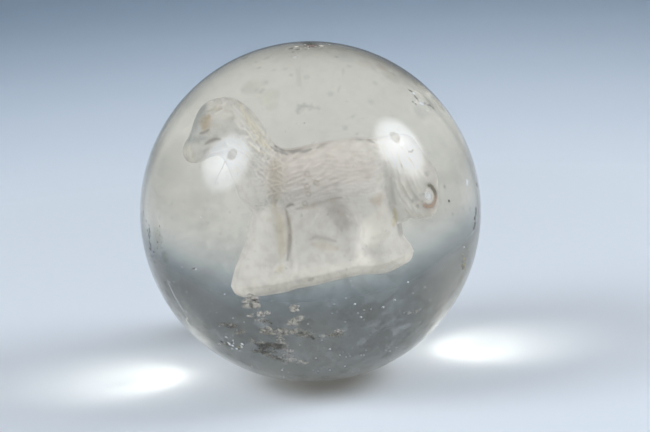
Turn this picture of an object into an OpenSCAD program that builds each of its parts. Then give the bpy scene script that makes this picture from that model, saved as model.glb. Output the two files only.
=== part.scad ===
// Clear glass marble with a small clay animal sealed in the middle of the glass.
//
// The origin is the centre of the ball and +Z is up as the ball lies. The animal faces -X
// and shows its near side towards -Y. It was pressed in a mould in one piece with its plinth,
// with a web of clay left between its legs, and hot glass was then gathered round it.

/* [Ball] */
// Diameter of the glass ball
ball_d = 38; // [37:0.5:50]
// Depth of each surface chip, as a share of its width
chip_bite = 0.1; // [0.05:0.01:0.2]

/* [Animal] */
// Length of the plinth, end to end
plinth_l = 13.5; // [13:0.1:14.2]
// Width of the plinth, front to back
plinth_w = 4.8; // [4.6:0.1:5.6]
// Height of the plinth
plinth_h = 1.1; // [0.9:0.1:1.3]
// Height of the back above the underside of the plinth
back_h = 10.2; // [9.8:0.1:10.5]
// Width of the body
body_w = 4.7; // [4.3:0.1:5]
// Width of the bushy tail
tail_w = 2.9; // [2.6:0.1:3.2]

/* [Place in the glass] */
// How far the plinth is off level, tail end up
animal_tilt = 7.9; // [0:0.1:16]
// Depth of the plinth's underside below the centre of the ball
animal_drop = 5.2; // [4.6:0.1:5.6]

/* [Surface] */
// Spacing of the points on the clay surface
grain = 0.5; // [0.46:0.02:0.6]

/* [Hidden] */

ball_r = ball_d / 2;

// Old chips in the glass, each as [turn from the near side, lift above the middle, width].
// The first is the scar where the ball was broken off its rod.
chips = [
    [18, 83, 4.2],
    [65, 39, 2.6],
    [62, 46, 1.7],
    [70, 1, 1.6],
    [66, -20.5, 1.9],
    [-25, -36.5, 1.9],
    [-60, -1, 1.5],
];

// ---- Body plan of the animal -------------------------------------------------------------
// Its own frame: x along the plinth with the head at -x, y across it, z up from the underside.
// Radii are half widths of the clay at each joint.

body_r = body_w / 2;
spine_z = back_h - body_r;
shoulder = [-1.9, 0, spine_z + 0.1];
loin = [1.4, 0, spine_z - 0.15];
rump = [4.25, 0, spine_z];

neck_root = [-2.9, 0, spine_z + 0.5];
poll = [-4.45, 0, spine_z + 5];
neck_r = 2.2;
poll_r = 1.8;
chest = [-2.95, 0, spine_z - 0.3];
brisket = [-3.05, 0, spine_z - 2.1];
chest_r = 1.7;
brisket_r = 1.0;

crown = [-5.75, 0, spine_z + 6.1];
crown_r = 2.1;
bridge_foot = [-8, 0, spine_z + 4.3];
bridge_top = [-6.5, 0, spine_z + 7.3];
bridge_r = 0.8;
cheek = [-6.2, 0, spine_z + 4.75];
muzzle = [-7.95, 0, spine_z + 4.1];
cheek_r = 1.45;
muzzle_r = 1.0;
mouth_corner = [-5.8, 1.6, spine_z + 4.5];
mouth_front = [-7.2, 1.2, spine_z + 4.1];
mouth_r = 0.3;

crest_root = [-3.5, 0, spine_z + 4.8];
crest_tip = [-4.4, 0, spine_z + 7];
crest_r = 0.85;
crest_tip_r = 0.6;
ear_root = [-5.1, 1.55, spine_z + 7];
ear_tip = [-4.25, 1.85, spine_z + 5.7];
ear_r = 0.5;
ear_tip_r = 0.35;

tail_r = tail_w / 2 * 1.1;
tail_root_r = tail_w / 2 * 0.6;
tail_bend_r = tail_w / 2 * 0.95;
tail_root = [5.9, 0, back_h - 1.1];
tail_bend = [7.8, 0, back_h - 1.9];
tail_fall = [8.4, 0, back_h - 4];
tail_tip = [8.4, 0, back_h - 5.7];
tail_web_top = [6.5, 0, back_h - 2.6];
tail_web_foot = [6.2, 0, back_h - 6];
tail_web_r = 0.8;
tail_web_foot_r = 0.6;

leg_y = 1.25;
foot_z = plinth_h - 0.1;
near_elbow = [-2.5, -leg_y, spine_z - 1.6];
near_foot = [-3.1, -leg_y, foot_z];
far_elbow = [-2.9, leg_y, spine_z - 1.6];
far_foot = [-4.9, leg_y, foot_z];
elbow_r = 1.0;
foot_r = 0.85;
hip = [4.3, 1.1, spine_z - 1.2];
hock = [4.95, leg_y, plinth_h + 1.9];
hind_foot = [4.7, leg_y, foot_z];
hip_r = 1.75;
hock_r = 1.15;
hind_foot_r = 1.0;

// Mound of clay that the forelegs stand against
mound_top = [-3.45, 0, plinth_h + 3.9];
mound_foot = [-5.2, 0, plinth_h + 0.4];
mound_top_r = 0.55;
mound_foot_r = 1.15;
flank_top = [-3.3, 0.8, plinth_h + 3.6];
flank_foot = [-4.5, 0.8, plinth_h + 0.4];
flank_top_r = 1.0;
flank_foot_r = 1.25;

heel_top = [5.5, 0, plinth_h + 1.7];
heel_foot = [6, 0, plinth_h];
heel_r = 0.6;
panel_top = [-0.1, 0.35, spine_z - 2.3];
panel_foot = [0.1, 0.35, plinth_h + 0.9];
panel_r = 1.35;
web_lo = [-4.2, -1.2, plinth_h - 0.6];
web_hi = [5.4, 1.2, spine_z - 1];
web_edge_r = 0.4;

soft = 0.9;   // blend between the parts of the body
crisp = 0.3;  // blend where a fold stays open

plinth_corner = 1.5;  // radius of the plinth's corners as seen from above
foot_bevel = 0.2;     // round its underside
edge_bevel = 0.3;     // round its upper edge
skirt_rise = 1.5;     // clay that slopes up from the plinth to the webs
skirt_inset = 1.1;

// ---- Clay as a distance field ------------------------------------------------------------

// Distance from p to a tapered limb with round ends, from a to b
function limb(p, a, b, ra, rb) =
    let (ab = b - a, t = max(0, min(1, (p - a) * ab / (ab * ab))))
    norm(p - a - t * ab) - ra - t * (rb - ra);

// Distance from p to a block between two corners, with its edges rounded by r
function block(p, lo, hi, r) =
    let (mid = (lo + hi) / 2,
         half = (hi - lo) / 2 - [r, r, r],
         q = [for (i = [0:2]) abs(p[i] - mid[i]) - half[i]])
    norm([for (v = q) max(v, 0)]) + min(max(q), 0) - r;

// Union of the distances a and b, blended over k
function melt(a, b, k) =
    let (h = max(k - abs(a - b), 0) / k)
    min(a, b) - h * h * k / 4;

// Union of a list of distances, blended over k
function melt_all(list, k, n = 0) =
    n == len(list) - 1 ? list[n] : melt(list[n], melt_all(list, k, n + 1), k);

// What is left of a when b is pressed into it, with the rim softened over k
function press(a, b, k) = -melt(-a, b, k);

// p mirrored to the +y side, for the parts that come in pairs
function paired(p) = [p[0], abs(p[1]), p[2]];

function trunk(p) = melt_all([
    limb(p, shoulder, loin, body_r, body_r),
    limb(p, loin, rump, body_r, body_r),
    limb(p, neck_root, poll, neck_r, poll_r),
    limb(p, chest, brisket, chest_r, brisket_r)], soft);

function head(p) = melt_all([
    norm(p - crown) - crown_r,
    limb(p, cheek, muzzle, cheek_r, muzzle_r),
    limb(p, bridge_foot, bridge_top, bridge_r, bridge_r),
    limb(p, crest_root, crest_tip, crest_r, crest_tip_r)], soft);

function ears(p) = limb(paired(p), ear_root, ear_tip, ear_r, ear_tip_r);

function mouth(p) = limb(paired(p), mouth_corner, mouth_front, mouth_r, mouth_r);

function tail(p) = melt_all([
    limb(p, tail_root, tail_bend, tail_root_r, tail_bend_r),
    limb(p, tail_bend, tail_fall, tail_bend_r, tail_r),
    limb(p, tail_fall, tail_tip, tail_r, tail_r)], soft);

function forelegs(p) = min(
    limb(p, near_elbow, near_foot, elbow_r, foot_r),
    limb(p, far_elbow, far_foot, elbow_r, foot_r));

function hind_legs(p) = melt(
    limb(paired(p), hip, hock, hip_r, hock_r),
    limb(paired(p), hock, hind_foot, hock_r, hind_foot_r), soft);

function mound(p) = melt(
    limb(p, mound_top, mound_foot, mound_top_r, mound_foot_r),
    limb(paired(p), flank_top, flank_foot, flank_top_r, flank_foot_r), soft);

function webs(p) = melt_all([
    limb(paired(p), panel_top, panel_foot, panel_r, panel_r),
    limb(p, tail_web_top, tail_web_foot, tail_web_r, tail_web_foot_r),
    limb(p, heel_top, heel_foot, heel_r, heel_r),
    block(p, web_lo, web_hi, web_edge_r)], crisp);

function clay(p) =
    let (upper = melt_all([trunk(p), head(p), hind_legs(p)], soft),
         front = melt(forelegs(p), mound(p), soft),
         body = melt_all([upper, front, webs(p), tail(p), ears(p)], crisp))
    press(body, mouth(p), crisp / 2);

// ---- Skin of the clay ----------------------------------------------------------------------
// One point goes in each grid cell that the surface passes through, at the mean of the places
// where it crosses the cell's edges. Each grid edge that it crosses then gives one facet, which
// joins the points of the four cells round that edge.

grid_lo = [-10.5, -grain * 7.5, -1.5 * grain];
grid_hi = [11.5, grain * 7.5, back_h + 7.5];
cells = [for (i = [0:2]) ceil((grid_hi[i] - grid_lo[i]) / grain)];
CORNERS = [for (x = [0, 1], y = [0, 1], z = [0, 1]) [x, y, z]];
EDGES = [for (a = [0:7], b = [a:7]) if (norm(CORNERS[a] - CORNERS[b]) == 1) [a, b]];
AXES = [[1, 0, 0], [0, 1, 0], [0, 0, 1]];
QUADRANTS = [for (a = [0:2], s = [-1, 1], t = [-1, 1]) [s * AXES[a], t * AXES[(a + 1) % 3]]];

function place(n) = (n[0] * (cells[1] + 1) + n[1]) * (cells[2] + 1) + n[2];

// Whether grid point n is empty while the clay beside it would meet only along an edge
function pinched(f, n) =
    f[place(n)] >= 0 && f[place(n)] < grain
    && max([for (q = QUADRANTS)
            f[place(n + q[0])] < 0 && f[place(n + q[1])] < 0 && f[place(n + q[0] + q[1])] >= 0
            ? 1 : 0]) > 0;

// The field with a speck of clay put in at each pinch
function filled(f) = [for (x = [0:cells[0]], y = [0:cells[1]], z = [0:cells[2]])
    pinched(f, [x, y, z]) ? -grain / 10 : f[place([x, y, z])]];

field = filled(filled(
    [for (x = [0:cells[0]], y = [0:cells[1]], z = [0:cells[2]]) clay(grid_lo + grain * [x, y, z])]));
function value(n) = field[place(n)];

function crossings(cell) =
    let (v = [for (c = CORNERS) value(cell + c)])
    [for (e = EDGES) if ((v[e[0]] < 0) != (v[e[1]] < 0))
        CORNERS[e[0]] + (CORNERS[e[1]] - CORNERS[e[0]]) * v[e[0]] / (v[e[0]] - v[e[1]])];

function mean(points) = [for (p = points) 1] * points / len(points);

hits = [for (x = [0:cells[0] - 1], y = [0:cells[1] - 1], z = [0:cells[2] - 1])
    let (found = crossings([x, y, z]))
    len(found) == 0 ? undef : grid_lo + grain * ([x, y, z] + mean(found))];
skin_points = [for (h = hits) if (!is_undef(h)) h];
numbers = [for (i = 0, n = 0; i < len(hits); n = n + (is_undef(hits[i]) ? 0 : 1), i = i + 1) n];
function number(cell) = numbers[(cell[0] * cells[1] + cell[1]) * cells[2] + cell[2]];

function ring(n, a, b) = [number(n - a - b), number(n - b), number(n), number(n - a)];

function turned(list) = [for (i = [len(list) - 1:-1:0]) list[i]];

// A four-sided facet as two triangles, split along its shorter diagonal
function split(q) =
    norm(skin_points[q[0]] - skin_points[q[2]]) < norm(skin_points[q[1]] - skin_points[q[3]])
        ? [[q[0], q[1], q[2]], [q[0], q[2], q[3]]]
        : [[q[0], q[1], q[3]], [q[1], q[2], q[3]]];

skin_faces = [for (x = [1:cells[0] - 1], y = [1:cells[1] - 1], z = [1:cells[2] - 1], a = [0:2])
    let (n = [x, y, z], inside = value(n) < 0)
    if (inside != (value(n + AXES[a]) < 0))
        let (quad = ring(n, AXES[(a + 1) % 3], AXES[(a + 2) % 3]))
        each split(inside ? turned(quad) : quad)];

// ---- Solids ------------------------------------------------------------------------------

// Outline of the plinth from above, drawn in by inset
function plinth_outline(inset) =
    let (x = plinth_l / 2 - plinth_corner, y = plinth_w / 2 - plinth_corner,
         r = plinth_corner - inset)
    [for (q = [0:3], a = [0:18:90])
        let (turn = 90 * q + a, sx = q == 0 || q == 3 ? 1 : -1, sy = q < 2 ? 1 : -1)
        [sx * x + r * cos(turn), sy * y + r * sin(turn)]];

// Plinth with its skirt of clay, as rings of [height, inset] from the underside up
module plinth() {
    rings = [[0, foot_bevel], [foot_bevel, 0], [plinth_h - edge_bevel, 0], [plinth_h, edge_bevel],
             [plinth_h + skirt_rise, skirt_inset]];
    corners = len(plinth_outline(0));
    last = len(rings) - 1;
    polyhedron(
        points = [for (ring = rings, p = plinth_outline(ring[1])) [p[0], p[1], ring[0]]],
        faces = [
            [for (k = [0:corners - 1]) k],
            [for (k = [corners - 1:-1:0]) last * corners + k],
            for (row = [0:last - 1], k = [0:corners - 1])
                let (a = row * corners, b = a + corners, next = (k + 1) % corners)
                [a + k, b + k, b + next, a + next]
        ]);
}

module animal_shape() {
    rotate([0, -animal_tilt, 0])
        translate([0, 0, -animal_drop]) {
            polyhedron(points = skin_points, faces = skin_faces, convexity = 8);
            plinth();
        }
}

module clay_animal() {
    color([0.80, 0.78, 0.74])
        animal_shape();
}

// Ball that bites a shallow round chip out of the top of the glass
module chip_cutter(width) {
    rim_r = width / 2;
    bite = width * chip_bite;
    rim_z = sqrt(pow(ball_r, 2) - pow(rim_r, 2));
    cutter_r = (pow(rim_r, 2) + pow(bite, 2)) / (2 * bite);
    translate([0, 0, rim_z - bite + cutter_r])
        sphere(r = cutter_r, $fn = 48);
}

module glass_ball() {
    color([0.78, 0.80, 0.78, 0.35])
        difference() {
            sphere(r = ball_r, $fn = 64);
            animal_shape();
            for (chip = chips)
                rotate([90 - chip[1], 0, chip[0]])
                    chip_cutter(chip[2]);
        }
}

glass_ball();
clay_animal();
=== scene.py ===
"""Looks of a glass marble with a small clay animal sealed inside."""

import itertools
import logging
import math
from dataclasses import dataclass, field
from typing import Any, Callable, Iterable, Sequence

import bmesh
import bpy
import numpy as np
from mathutils import Matrix, Vector


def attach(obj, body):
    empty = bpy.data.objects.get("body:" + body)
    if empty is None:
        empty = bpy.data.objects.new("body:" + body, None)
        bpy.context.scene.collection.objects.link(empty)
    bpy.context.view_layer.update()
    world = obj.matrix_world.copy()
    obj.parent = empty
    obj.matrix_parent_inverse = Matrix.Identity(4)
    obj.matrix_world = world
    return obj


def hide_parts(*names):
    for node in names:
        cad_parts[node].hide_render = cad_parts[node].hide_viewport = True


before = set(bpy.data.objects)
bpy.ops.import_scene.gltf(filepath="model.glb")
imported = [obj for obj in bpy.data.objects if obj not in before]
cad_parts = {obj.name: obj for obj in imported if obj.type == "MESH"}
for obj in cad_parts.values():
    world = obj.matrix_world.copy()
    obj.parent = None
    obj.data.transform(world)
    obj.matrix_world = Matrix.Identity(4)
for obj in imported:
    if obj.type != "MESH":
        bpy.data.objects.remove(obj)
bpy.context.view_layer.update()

log = logging.getLogger("marble")
logging.basicConfig(level=logging.INFO, format="%(name)s: %(message)s")

MM = 0.001
Array = np.ndarray
Pair = tuple[float, float]
Colour = tuple[float, float, float]


# ---- Shader graph helpers ----------------------------------------------------------------


class Wire:
    """A shader socket on which Python arithmetic adds Math nodes."""

    def __init__(self, graph: "Graph", socket: bpy.types.NodeSocket) -> None:
        """Keep the graph that holds the socket.

        Args:
            graph: Where new nodes go.
            socket: The output socket that carries the value.
        """
        self.graph = graph
        self.socket = socket

    def _math(self, operation: str, *values: Any) -> "Wire":
        """Add one Math node on the given values and return its result."""
        node = self.graph.add("ShaderNodeMath", {"operation": operation}, dict(enumerate(values)))
        return Wire(self.graph, node.outputs[0])

    def __add__(self, other: Any) -> "Wire":
        """Sum."""
        return self._math("ADD", self, other)

    def __sub__(self, other: Any) -> "Wire":
        """Difference."""
        return self._math("SUBTRACT", self, other)

    def __rsub__(self, other: Any) -> "Wire":
        """Difference with the number first."""
        return self._math("SUBTRACT", other, self)

    def __mul__(self, other: Any) -> "Wire":
        """Product."""
        return self._math("MULTIPLY", self, other)

    def __truediv__(self, other: Any) -> "Wire":
        """Quotient."""
        return self._math("DIVIDE", self, other)

    def __pow__(self, other: Any) -> "Wire":
        """Power."""
        return self._math("POWER", self, other)

    __radd__ = __add__
    __rmul__ = __mul__

    def least(self, other: Any) -> "Wire":
        """Smaller of the two."""
        return self._math("MINIMUM", self, other)

    def most(self, other: Any) -> "Wire":
        """Larger of the two."""
        return self._math("MAXIMUM", self, other)

    def bell(self) -> "Wire":
        """Bell curve of a squared distance: 1 at 0, falling to 0."""
        return self._math("POWER", math.e, 0.0 - self)

    def ramp(self, low: float, high: float) -> "Wire":
        """Smooth step from 0 at low to 1 at high.

        Args:
            low: Value that gives 0.
            high: Value that gives 1. It may be less than low.

        Returns:
            The stepped value.
        """
        inputs = {"Value": self, "From Min": low, "From Max": high}
        node = self.graph.add("ShaderNodeMapRange", {"interpolation_type": "SMOOTHSTEP"}, inputs)
        return Wire(self.graph, node.outputs["Result"])


class Graph:
    """Builder for one node tree."""

    def __init__(self, tree: bpy.types.NodeTree) -> None:
        """Keep the tree and empty it."""
        self.tree = tree
        tree.nodes.clear()

    def add(self, kind: str, settings: dict[str, Any] | None = None,
            inputs: dict[Any, Any] | None = None) -> bpy.types.Node:
        """Add one node.

        Args:
            kind: Blender's name of the node type.
            settings: Properties of the node, set before its sockets.
            inputs: Value or link for each socket, by name or number.

        Returns:
            The node.
        """
        node = self.tree.nodes.new(kind)
        for key, value in (settings or {}).items():
            setattr(node, key, value)
        for key, value in (inputs or {}).items():
            self.feed(node.inputs[key], value)
        return node

    def feed(self, socket: bpy.types.NodeSocket, value: Any) -> None:
        """Link an input to a wire, a socket or a node's first output, or set it to a number or colour."""
        if isinstance(value, bpy.types.Node):
            value = value.outputs[0]
        elif isinstance(value, Wire):
            value = value.socket
        if isinstance(value, bpy.types.NodeSocket):
            self.tree.links.new(value, socket)
        elif socket.type == "RGBA" and len(value) == 3:
            socket.default_value = (*value, 1.0)
        else:
            socket.default_value = value

    def wire(self, node: bpy.types.Node, output: Any = 0) -> Wire:
        """Output of a node as a wire."""
        return Wire(self, node.outputs[output])

    def place(self) -> bpy.types.NodeSocket:
        """Object coordinates."""
        return self.add("ShaderNodeTexCoord").outputs["Object"]

    def parts(self, vector: Any) -> list[Wire]:
        """The three numbers of a vector."""
        node = self.add("ShaderNodeSeparateXYZ", {}, {0: vector})
        return [self.wire(node, k) for k in range(3)]

    def stored(self, name: str) -> bpy.types.Node:
        """Node that reads what the mesh stores under a name."""
        return self.add("ShaderNodeAttribute", {"attribute_name": name})

    def attribute(self, name: str) -> Wire:
        """Number stored on the mesh under a name."""
        return self.wire(self.stored(name), "Fac")

    def noise(self, scale: float, detail: float = 3.0) -> Wire:
        """Noise of about 0 to 1, with so many features per metre and octaves of finer detail."""
        inputs = {"Vector": self.place(), "Scale": scale, "Detail": detail}
        return self.wire(self.add("ShaderNodeTexNoise", {}, inputs), "Fac")

    def mix(self, mask: Any, a: Any, b: Any) -> bpy.types.NodeSocket:
        """Blend two colours.

        Args:
            mask: 0 for the first colour, 1 for the second.
            a: First colour.
            b: Second colour.

        Returns:
            Socket of the blended colour.
        """
        node = self.add("ShaderNodeMix", {"data_type": "RGBA"}, {0: mask, 6: a, 7: b})
        return node.outputs[2]

    def bump(self, height: Wire, depth: float) -> bpy.types.Node:
        """Normal that shows a height of 0 to 1, which is so many metres deep."""
        return self.add("ShaderNodeBump", {}, {"Height": height, "Distance": depth, "Strength": 1.0})

    def blend(self, share: Any, a: Any, b: Any) -> bpy.types.Node:
        """Mix of two shaders: the first where share is 0, the second where it is 1."""
        return self.add("ShaderNodeMixShader", {}, {0: share, 1: a, 2: b})


def new_material(name: str, build: Callable[[Graph], bpy.types.Node]) -> bpy.types.Material:
    """Make a material.

    Args:
        name: Its name.
        build: Adds the nodes to a graph and returns the surface shader's node.

    Returns:
        The material.
    """
    material = bpy.data.materials.new(name)
    material.use_nodes = True
    graph = Graph(material.node_tree)
    graph.add("ShaderNodeOutputMaterial", {}, {"Surface": build(graph)})
    return material


# ---- Finishes ----------------------------------------------------------------------------


@dataclass(frozen=True)
class Finish:
    """Material with a name of its own, made by its nodes alone."""

    name: str

    def material(self) -> bpy.types.Material:
        """Make the material."""
        return new_material(self.name, self._build)

    def _build(self, g: Graph) -> bpy.types.Node:
        """Add the nodes to a graph and return the surface shader."""
        raise NotImplementedError


@dataclass(frozen=True)
class ClearGlass(Finish):
    """Old clear glass with a warm grey cast, bruised, with dirt ground into its chips, and painted shade,
    glints and reflections on it.

    The mesh holds three layers: soil, the colour of the dirt and of the painted glints with its amount as
    alpha;
    bruise, how rough the glass is; and veil, the haze with painted shade, highlights and reflections.
    Scales are in features per metre.
    """

    name: str = "clear_glass"
    tint: Colour = (0.95, 0.857, 0.70)
    refraction: float = 1.5
    bruise_rough: float = 0.12
    bruise_depth: float = 0.04 * MM
    crumb: float = 5200.0
    crumb_share: float = 0.8
    crumb_edge: Pair = (0.84, 0.98)
    cloud: float = 800.0
    cloud_edge: Pair = (0.40, 0.72)
    speck: float = 1900.0
    speck_edge: Pair = (0.64, 0.80)
    speck_share: float = 0.16
    film_heights: Pair = (0.5 * MM, -8.0 * MM)
    film: float = 0.28
    film_least: float = 0.03
    tone_edge: Pair = (0.45, 0.60)
    film_tones: tuple[Colour, Colour] = ((0.15, 0.12, 0.08), (0.62, 0.62, 0.60))
    cover_rough: float = 0.6

    def _build(self, g: Graph) -> bpy.types.Node:
        """Add the nodes of the glass and its dirt, and return the shader."""
        soil = g.stored("soil")
        amount, bruise, veil = g.wire(soil, "Alpha"), g.attribute("bruise"), g.attribute("veil")
        crumbs, clouds = g.noise(self.crumb, 6.0), g.noise(self.cloud, 8.0)
        height = g.parts(g.place())[2]
        film = clouds.ramp(*self.cloud_edge) * (height.ramp(*self.film_heights) * self.film + self.film_least)
        specks = g.noise(self.speck, 2.0).ramp(*self.speck_edge) * self.speck_share
        crisp = (amount + crumbs * self.crumb_share).ramp(*self.crumb_edge)
        cover = crisp.most(film).most(specks).most(veil * (crumbs + 0.5))
        general = g.mix(g.noise(self.cloud * 0.7, 5.0).ramp(*self.tone_edge), *self.film_tones)
        glass = g.add("ShaderNodeBsdfPrincipled", {}, {
            "Base Color": self.tint,
            "Roughness": bruise * self.bruise_rough,
            "IOR": self.refraction,
            "Transmission Weight": 1.0,
            "Normal": g.bump(crumbs * bruise, self.bruise_depth)})
        # This cover shader draws the dirt and also the painted glints, painted shade, highlights and
        # reflections.
        dirt = g.add("ShaderNodeBsdfPrincipled", {}, {
            "Base Color": g.mix((amount + veil).ramp(0.0, 0.15), general, soil.outputs["Color"]),
            "Roughness": self.cover_rough,
            "Normal": g.bump(crumbs, self.bruise_depth)})
        return g.blend(cover, glass, dirt)


@dataclass(frozen=True)
class Stone(Finish):
    """Ash, unmelted batch or dust: dull mottled grains with soft edges and holes.

    Ash, unmelted batch or dust: dull mottled grains with soft edges and holes, and white specks painted
    bright as glints.
    """

    name: str = "stone"
    tones: tuple[Colour, Colour, Colour] = ((0.15, 0.14, 0.08), (0.58, 0.57, 0.53), (0.95, 0.94, 0.94))
    mottle: float = 3500.0
    hole: float = 2600.0
    hole_edge: Pair = (0.56, 0.44)
    opacity: float = 0.85
    softness: float = 1.4
    wisp: float = 0.9
    roughness: float = 0.75
    grain: float = 6000.0
    grain_depth: float = 0.04 * MM

    def _build(self, g: Graph) -> bpy.types.Node:
        """Add the nodes of the grain and return its shader."""
        tone = g.attribute("tone") + (g.noise(self.mottle, 4.0) - 0.5) * 0.8
        dark, middle, light = self.tones
        facing = g.wire(g.add("ShaderNodeLayerWeight", {}, {"Blend": 0.5}), "Facing")
        solid = 1.0 - g.noise(self.hole, 4.0).ramp(*self.hole_edge) * self.wisp
        return g.add("ShaderNodeBsdfPrincipled", {}, {
            "Base Color": g.mix(tone.ramp(0.4, 0.9), g.mix(tone.ramp(0.0, 0.5), dark, middle), light),
            "Roughness": self.roughness,
            "Alpha": (1.0 - facing).most(0.0) ** self.softness * solid * self.opacity,
            "Normal": g.bump(g.noise(self.grain), self.grain_depth)})


@dataclass(frozen=True)
class WhiteClay(Finish):
    """Fired white clay. Its colour, with the painted shade and light of the marks and the hair, lies on the
    mesh, and this adds its fine mottle and grain.
    """

    name: str = "white_clay"
    mottle: float = 1600.0
    mottle_edge: Pair = (0.42, 0.68)
    mottle_tone: Colour = (0.91, 0.90, 0.885)
    roughness: float = 0.7
    gloss: float = 0.1
    grain: float = 5000.0
    grain_depth: float = 0.03 * MM

    def _build(self, g: Graph) -> bpy.types.Node:
        """Add the nodes of the clay and return its shader."""
        tint = g.stored("tint").outputs["Color"]
        dull = g.add("ShaderNodeMix", {"data_type": "RGBA", "blend_type": "MULTIPLY"},
                     {0: 1.0, 6: tint, 7: self.mottle_tone}).outputs[2]
        return g.add("ShaderNodeBsdfPrincipled", {}, {
            "Base Color": g.mix(g.noise(self.mottle, 5.0).ramp(*self.mottle_edge), tint, dull),
            "Roughness": self.roughness,
            "Specular IOR Level": self.gloss,
            "Normal": g.bump(g.noise(self.grain, 4.0), self.grain_depth)})


# ---- Meshes ------------------------------------------------------------------------------


def new_piece(name: str, points: Array, faces: Iterable[Sequence[int]],
              material: bpy.types.Material) -> bpy.types.Object:
    """Make a mesh object at the origin.

    Args:
        name: Name of the piece.
        points: Corner places in millimetres.
        faces: Corner numbers of each face.
        material: Its material.

    Returns:
        The object, shaded smooth and linked to the scene.
    """
    mesh = bpy.data.meshes.new(name)
    mesh.from_pydata((np.asarray(points) * MM).tolist(), [], [list(f) for f in faces])
    mesh.materials.append(material)
    mesh.polygons.foreach_set("use_smooth", [True] * len(mesh.polygons))
    mesh.update()
    piece = bpy.data.objects.new(name, mesh)
    bpy.context.scene.collection.objects.link(piece)
    return piece


def store(piece: bpy.types.Object, name: str, kind: str, values: Any) -> None:
    """Store a value at each point of a mesh.

    Args:
        piece: Object that has the mesh.
        name: Name of the layer.
        kind: FLOAT, FLOAT_COLOR or FLOAT_VECTOR.
        values: Number, colour with alpha, or vector of each point.
    """
    key = {"FLOAT": "value", "FLOAT_COLOR": "color", "FLOAT_VECTOR": "vector"}[kind]
    layer = piece.data.attributes.new(name, kind, "POINT")
    layer.data.foreach_set(key, np.asarray(values, dtype=float).ravel())


def turned(profile: Sequence[Pair], turns: int) -> tuple[Array, list[tuple[int, ...]]]:
    """Sheet that a profile sweeps round the z axis.

    Args:
        profile: Radius and height of each ring. The first is the middle point.
        turns: Points in a ring.

    Returns:
        The points and the faces of the sheet.
    """
    angles = [2 * math.pi * k / turns for k in range(turns)]
    points = [(0.0, 0.0, profile[0][1])]
    points += [(r * math.cos(a), r * math.sin(a), z) for r, z in profile[1:] for a in angles]
    faces = [(0, 1 + k, 1 + (k + 1) % turns) for k in range(turns)]
    for row in range(len(profile) - 2):
        a, b = 1 + row * turns, 1 + (row + 1) * turns
        faces += [(a + k, b + k, b + (k + 1) % turns, a + (k + 1) % turns) for k in range(turns)]
    return np.array(points), faces


# ---- Clay animal -------------------------------------------------------------------------


def melt(a: Array, b: Array, k: float) -> Array:
    """Union of two distances, blended over k."""
    h = np.maximum(k - np.abs(a - b), 0) / k
    return np.minimum(a, b) - h * h * k / 4


def melt_all(parts: Sequence[Array], k: float) -> Array:
    """Union of several distances, blended over k."""
    result = parts[-1]
    for part in reversed(parts[:-1]):
        result = melt(part, result, k)
    return result


def press(a: Array, b: Array, k: float) -> Array:
    """What is left of a when b is pressed into it, with the rim softened over k."""
    return -melt(-a, b, k)


class ClayField:
    """Distances to simple forms at every point of a grid."""

    def __init__(self, x: Array, y: Array, z: Array) -> None:
        """Keep the grid's coordinates in millimetres, in arrays that broadcast together."""
        self.x, self.y, self.z = x, y, z
        self.side = np.abs(y)

    def limb(self, a: Sequence[float], b: Sequence[float], ra: float, rb: float,
             paired: bool = False) -> Array:
        """Distance to a tapered limb with round ends.

        Args:
            a: Centre of one end.
            b: Centre of the other end.
            ra: Radius at a.
            rb: Radius at b.
            paired: Whether the limb is mirrored on the other side of the body.

        Returns:
            The distance at each grid point.
        """
        px = self.x - a[0]
        py = (self.side if paired else self.y) - a[1]
        pz = self.z - a[2]
        d = np.subtract(b, a)
        length2 = float(d @ d)
        t = np.clip((px * d[0] + py * d[1] + pz * d[2]) / max(length2, 1e-9), 0, 1)
        gap = np.sqrt((px - t * d[0]) ** 2 + (py - t * d[1]) ** 2 + (pz - t * d[2]) ** 2)
        return gap - ra - t * (rb - ra)

    def block(self, lo: Sequence[float], hi: Sequence[float], r: float) -> Array:
        """Distance to a block between two corners, with its edges rounded by r."""
        mid = np.add(lo, hi) / 2
        half = np.subtract(hi, lo) / 2 - r
        q = [np.abs(v - m) - h for v, m, h in zip((self.x, self.y, self.z), mid, half)]
        outside = np.sqrt(sum(np.maximum(v, 0) ** 2 for v in q))
        inside = np.minimum(np.maximum(np.maximum(q[0], q[1]), q[2]), 0)
        return outside + inside - r

    def plan(self, size: Sequence[float], corner: float) -> Array:
        """Level distance to an oblong with rounded corners, as seen from above."""
        qx = np.abs(self.x) - size[0] / 2 + corner
        qy = self.side - size[1] / 2 + corner
        return (np.hypot(np.maximum(qx, 0), np.maximum(qy, 0)) + np.minimum(np.maximum(qx, qy), 0)
                - corner)

    def slab(self, size: Sequence[float], corner: float, edge: float) -> Array:
        """Distance to a level slab that stands on z = 0.

        Args:
            size: Length, width and height.
            corner: Radius of its corners as seen from above.
            edge: Radius of its upper and lower edges.

        Returns:
            The distance at each grid point.
        """
        across = self.plan(size, corner) + edge
        up = np.abs(self.z - size[2] / 2) - size[2] / 2 + edge
        rim = np.hypot(np.maximum(across, 0), np.maximum(up, 0))
        return rim + np.minimum(np.maximum(across, up), 0) - edge

    def skirt(self, size: Sequence[float], corner: float, rise: float, inset: float) -> Array:
        """Distance to the sloping skirt of clay on top of that slab.

        Args:
            size: Length, width and height of the slab.
            corner: Radius of its corners as seen from above.
            rise: Height of the skirt.
            inset: How much further its top lies inside the slab's edge than its foot.

        Returns:
            The distance at each grid point.
        """
        foot_inset, sunk, slope = 0.25, 0.3, inset / rise
        side = (self.plan(size, corner) + slope * (self.z - size[2]) + foot_inset) / math.hypot(1, slope)
        return np.maximum(np.maximum(side, self.z - size[2] - rise), size[2] - sunk - self.z)


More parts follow.
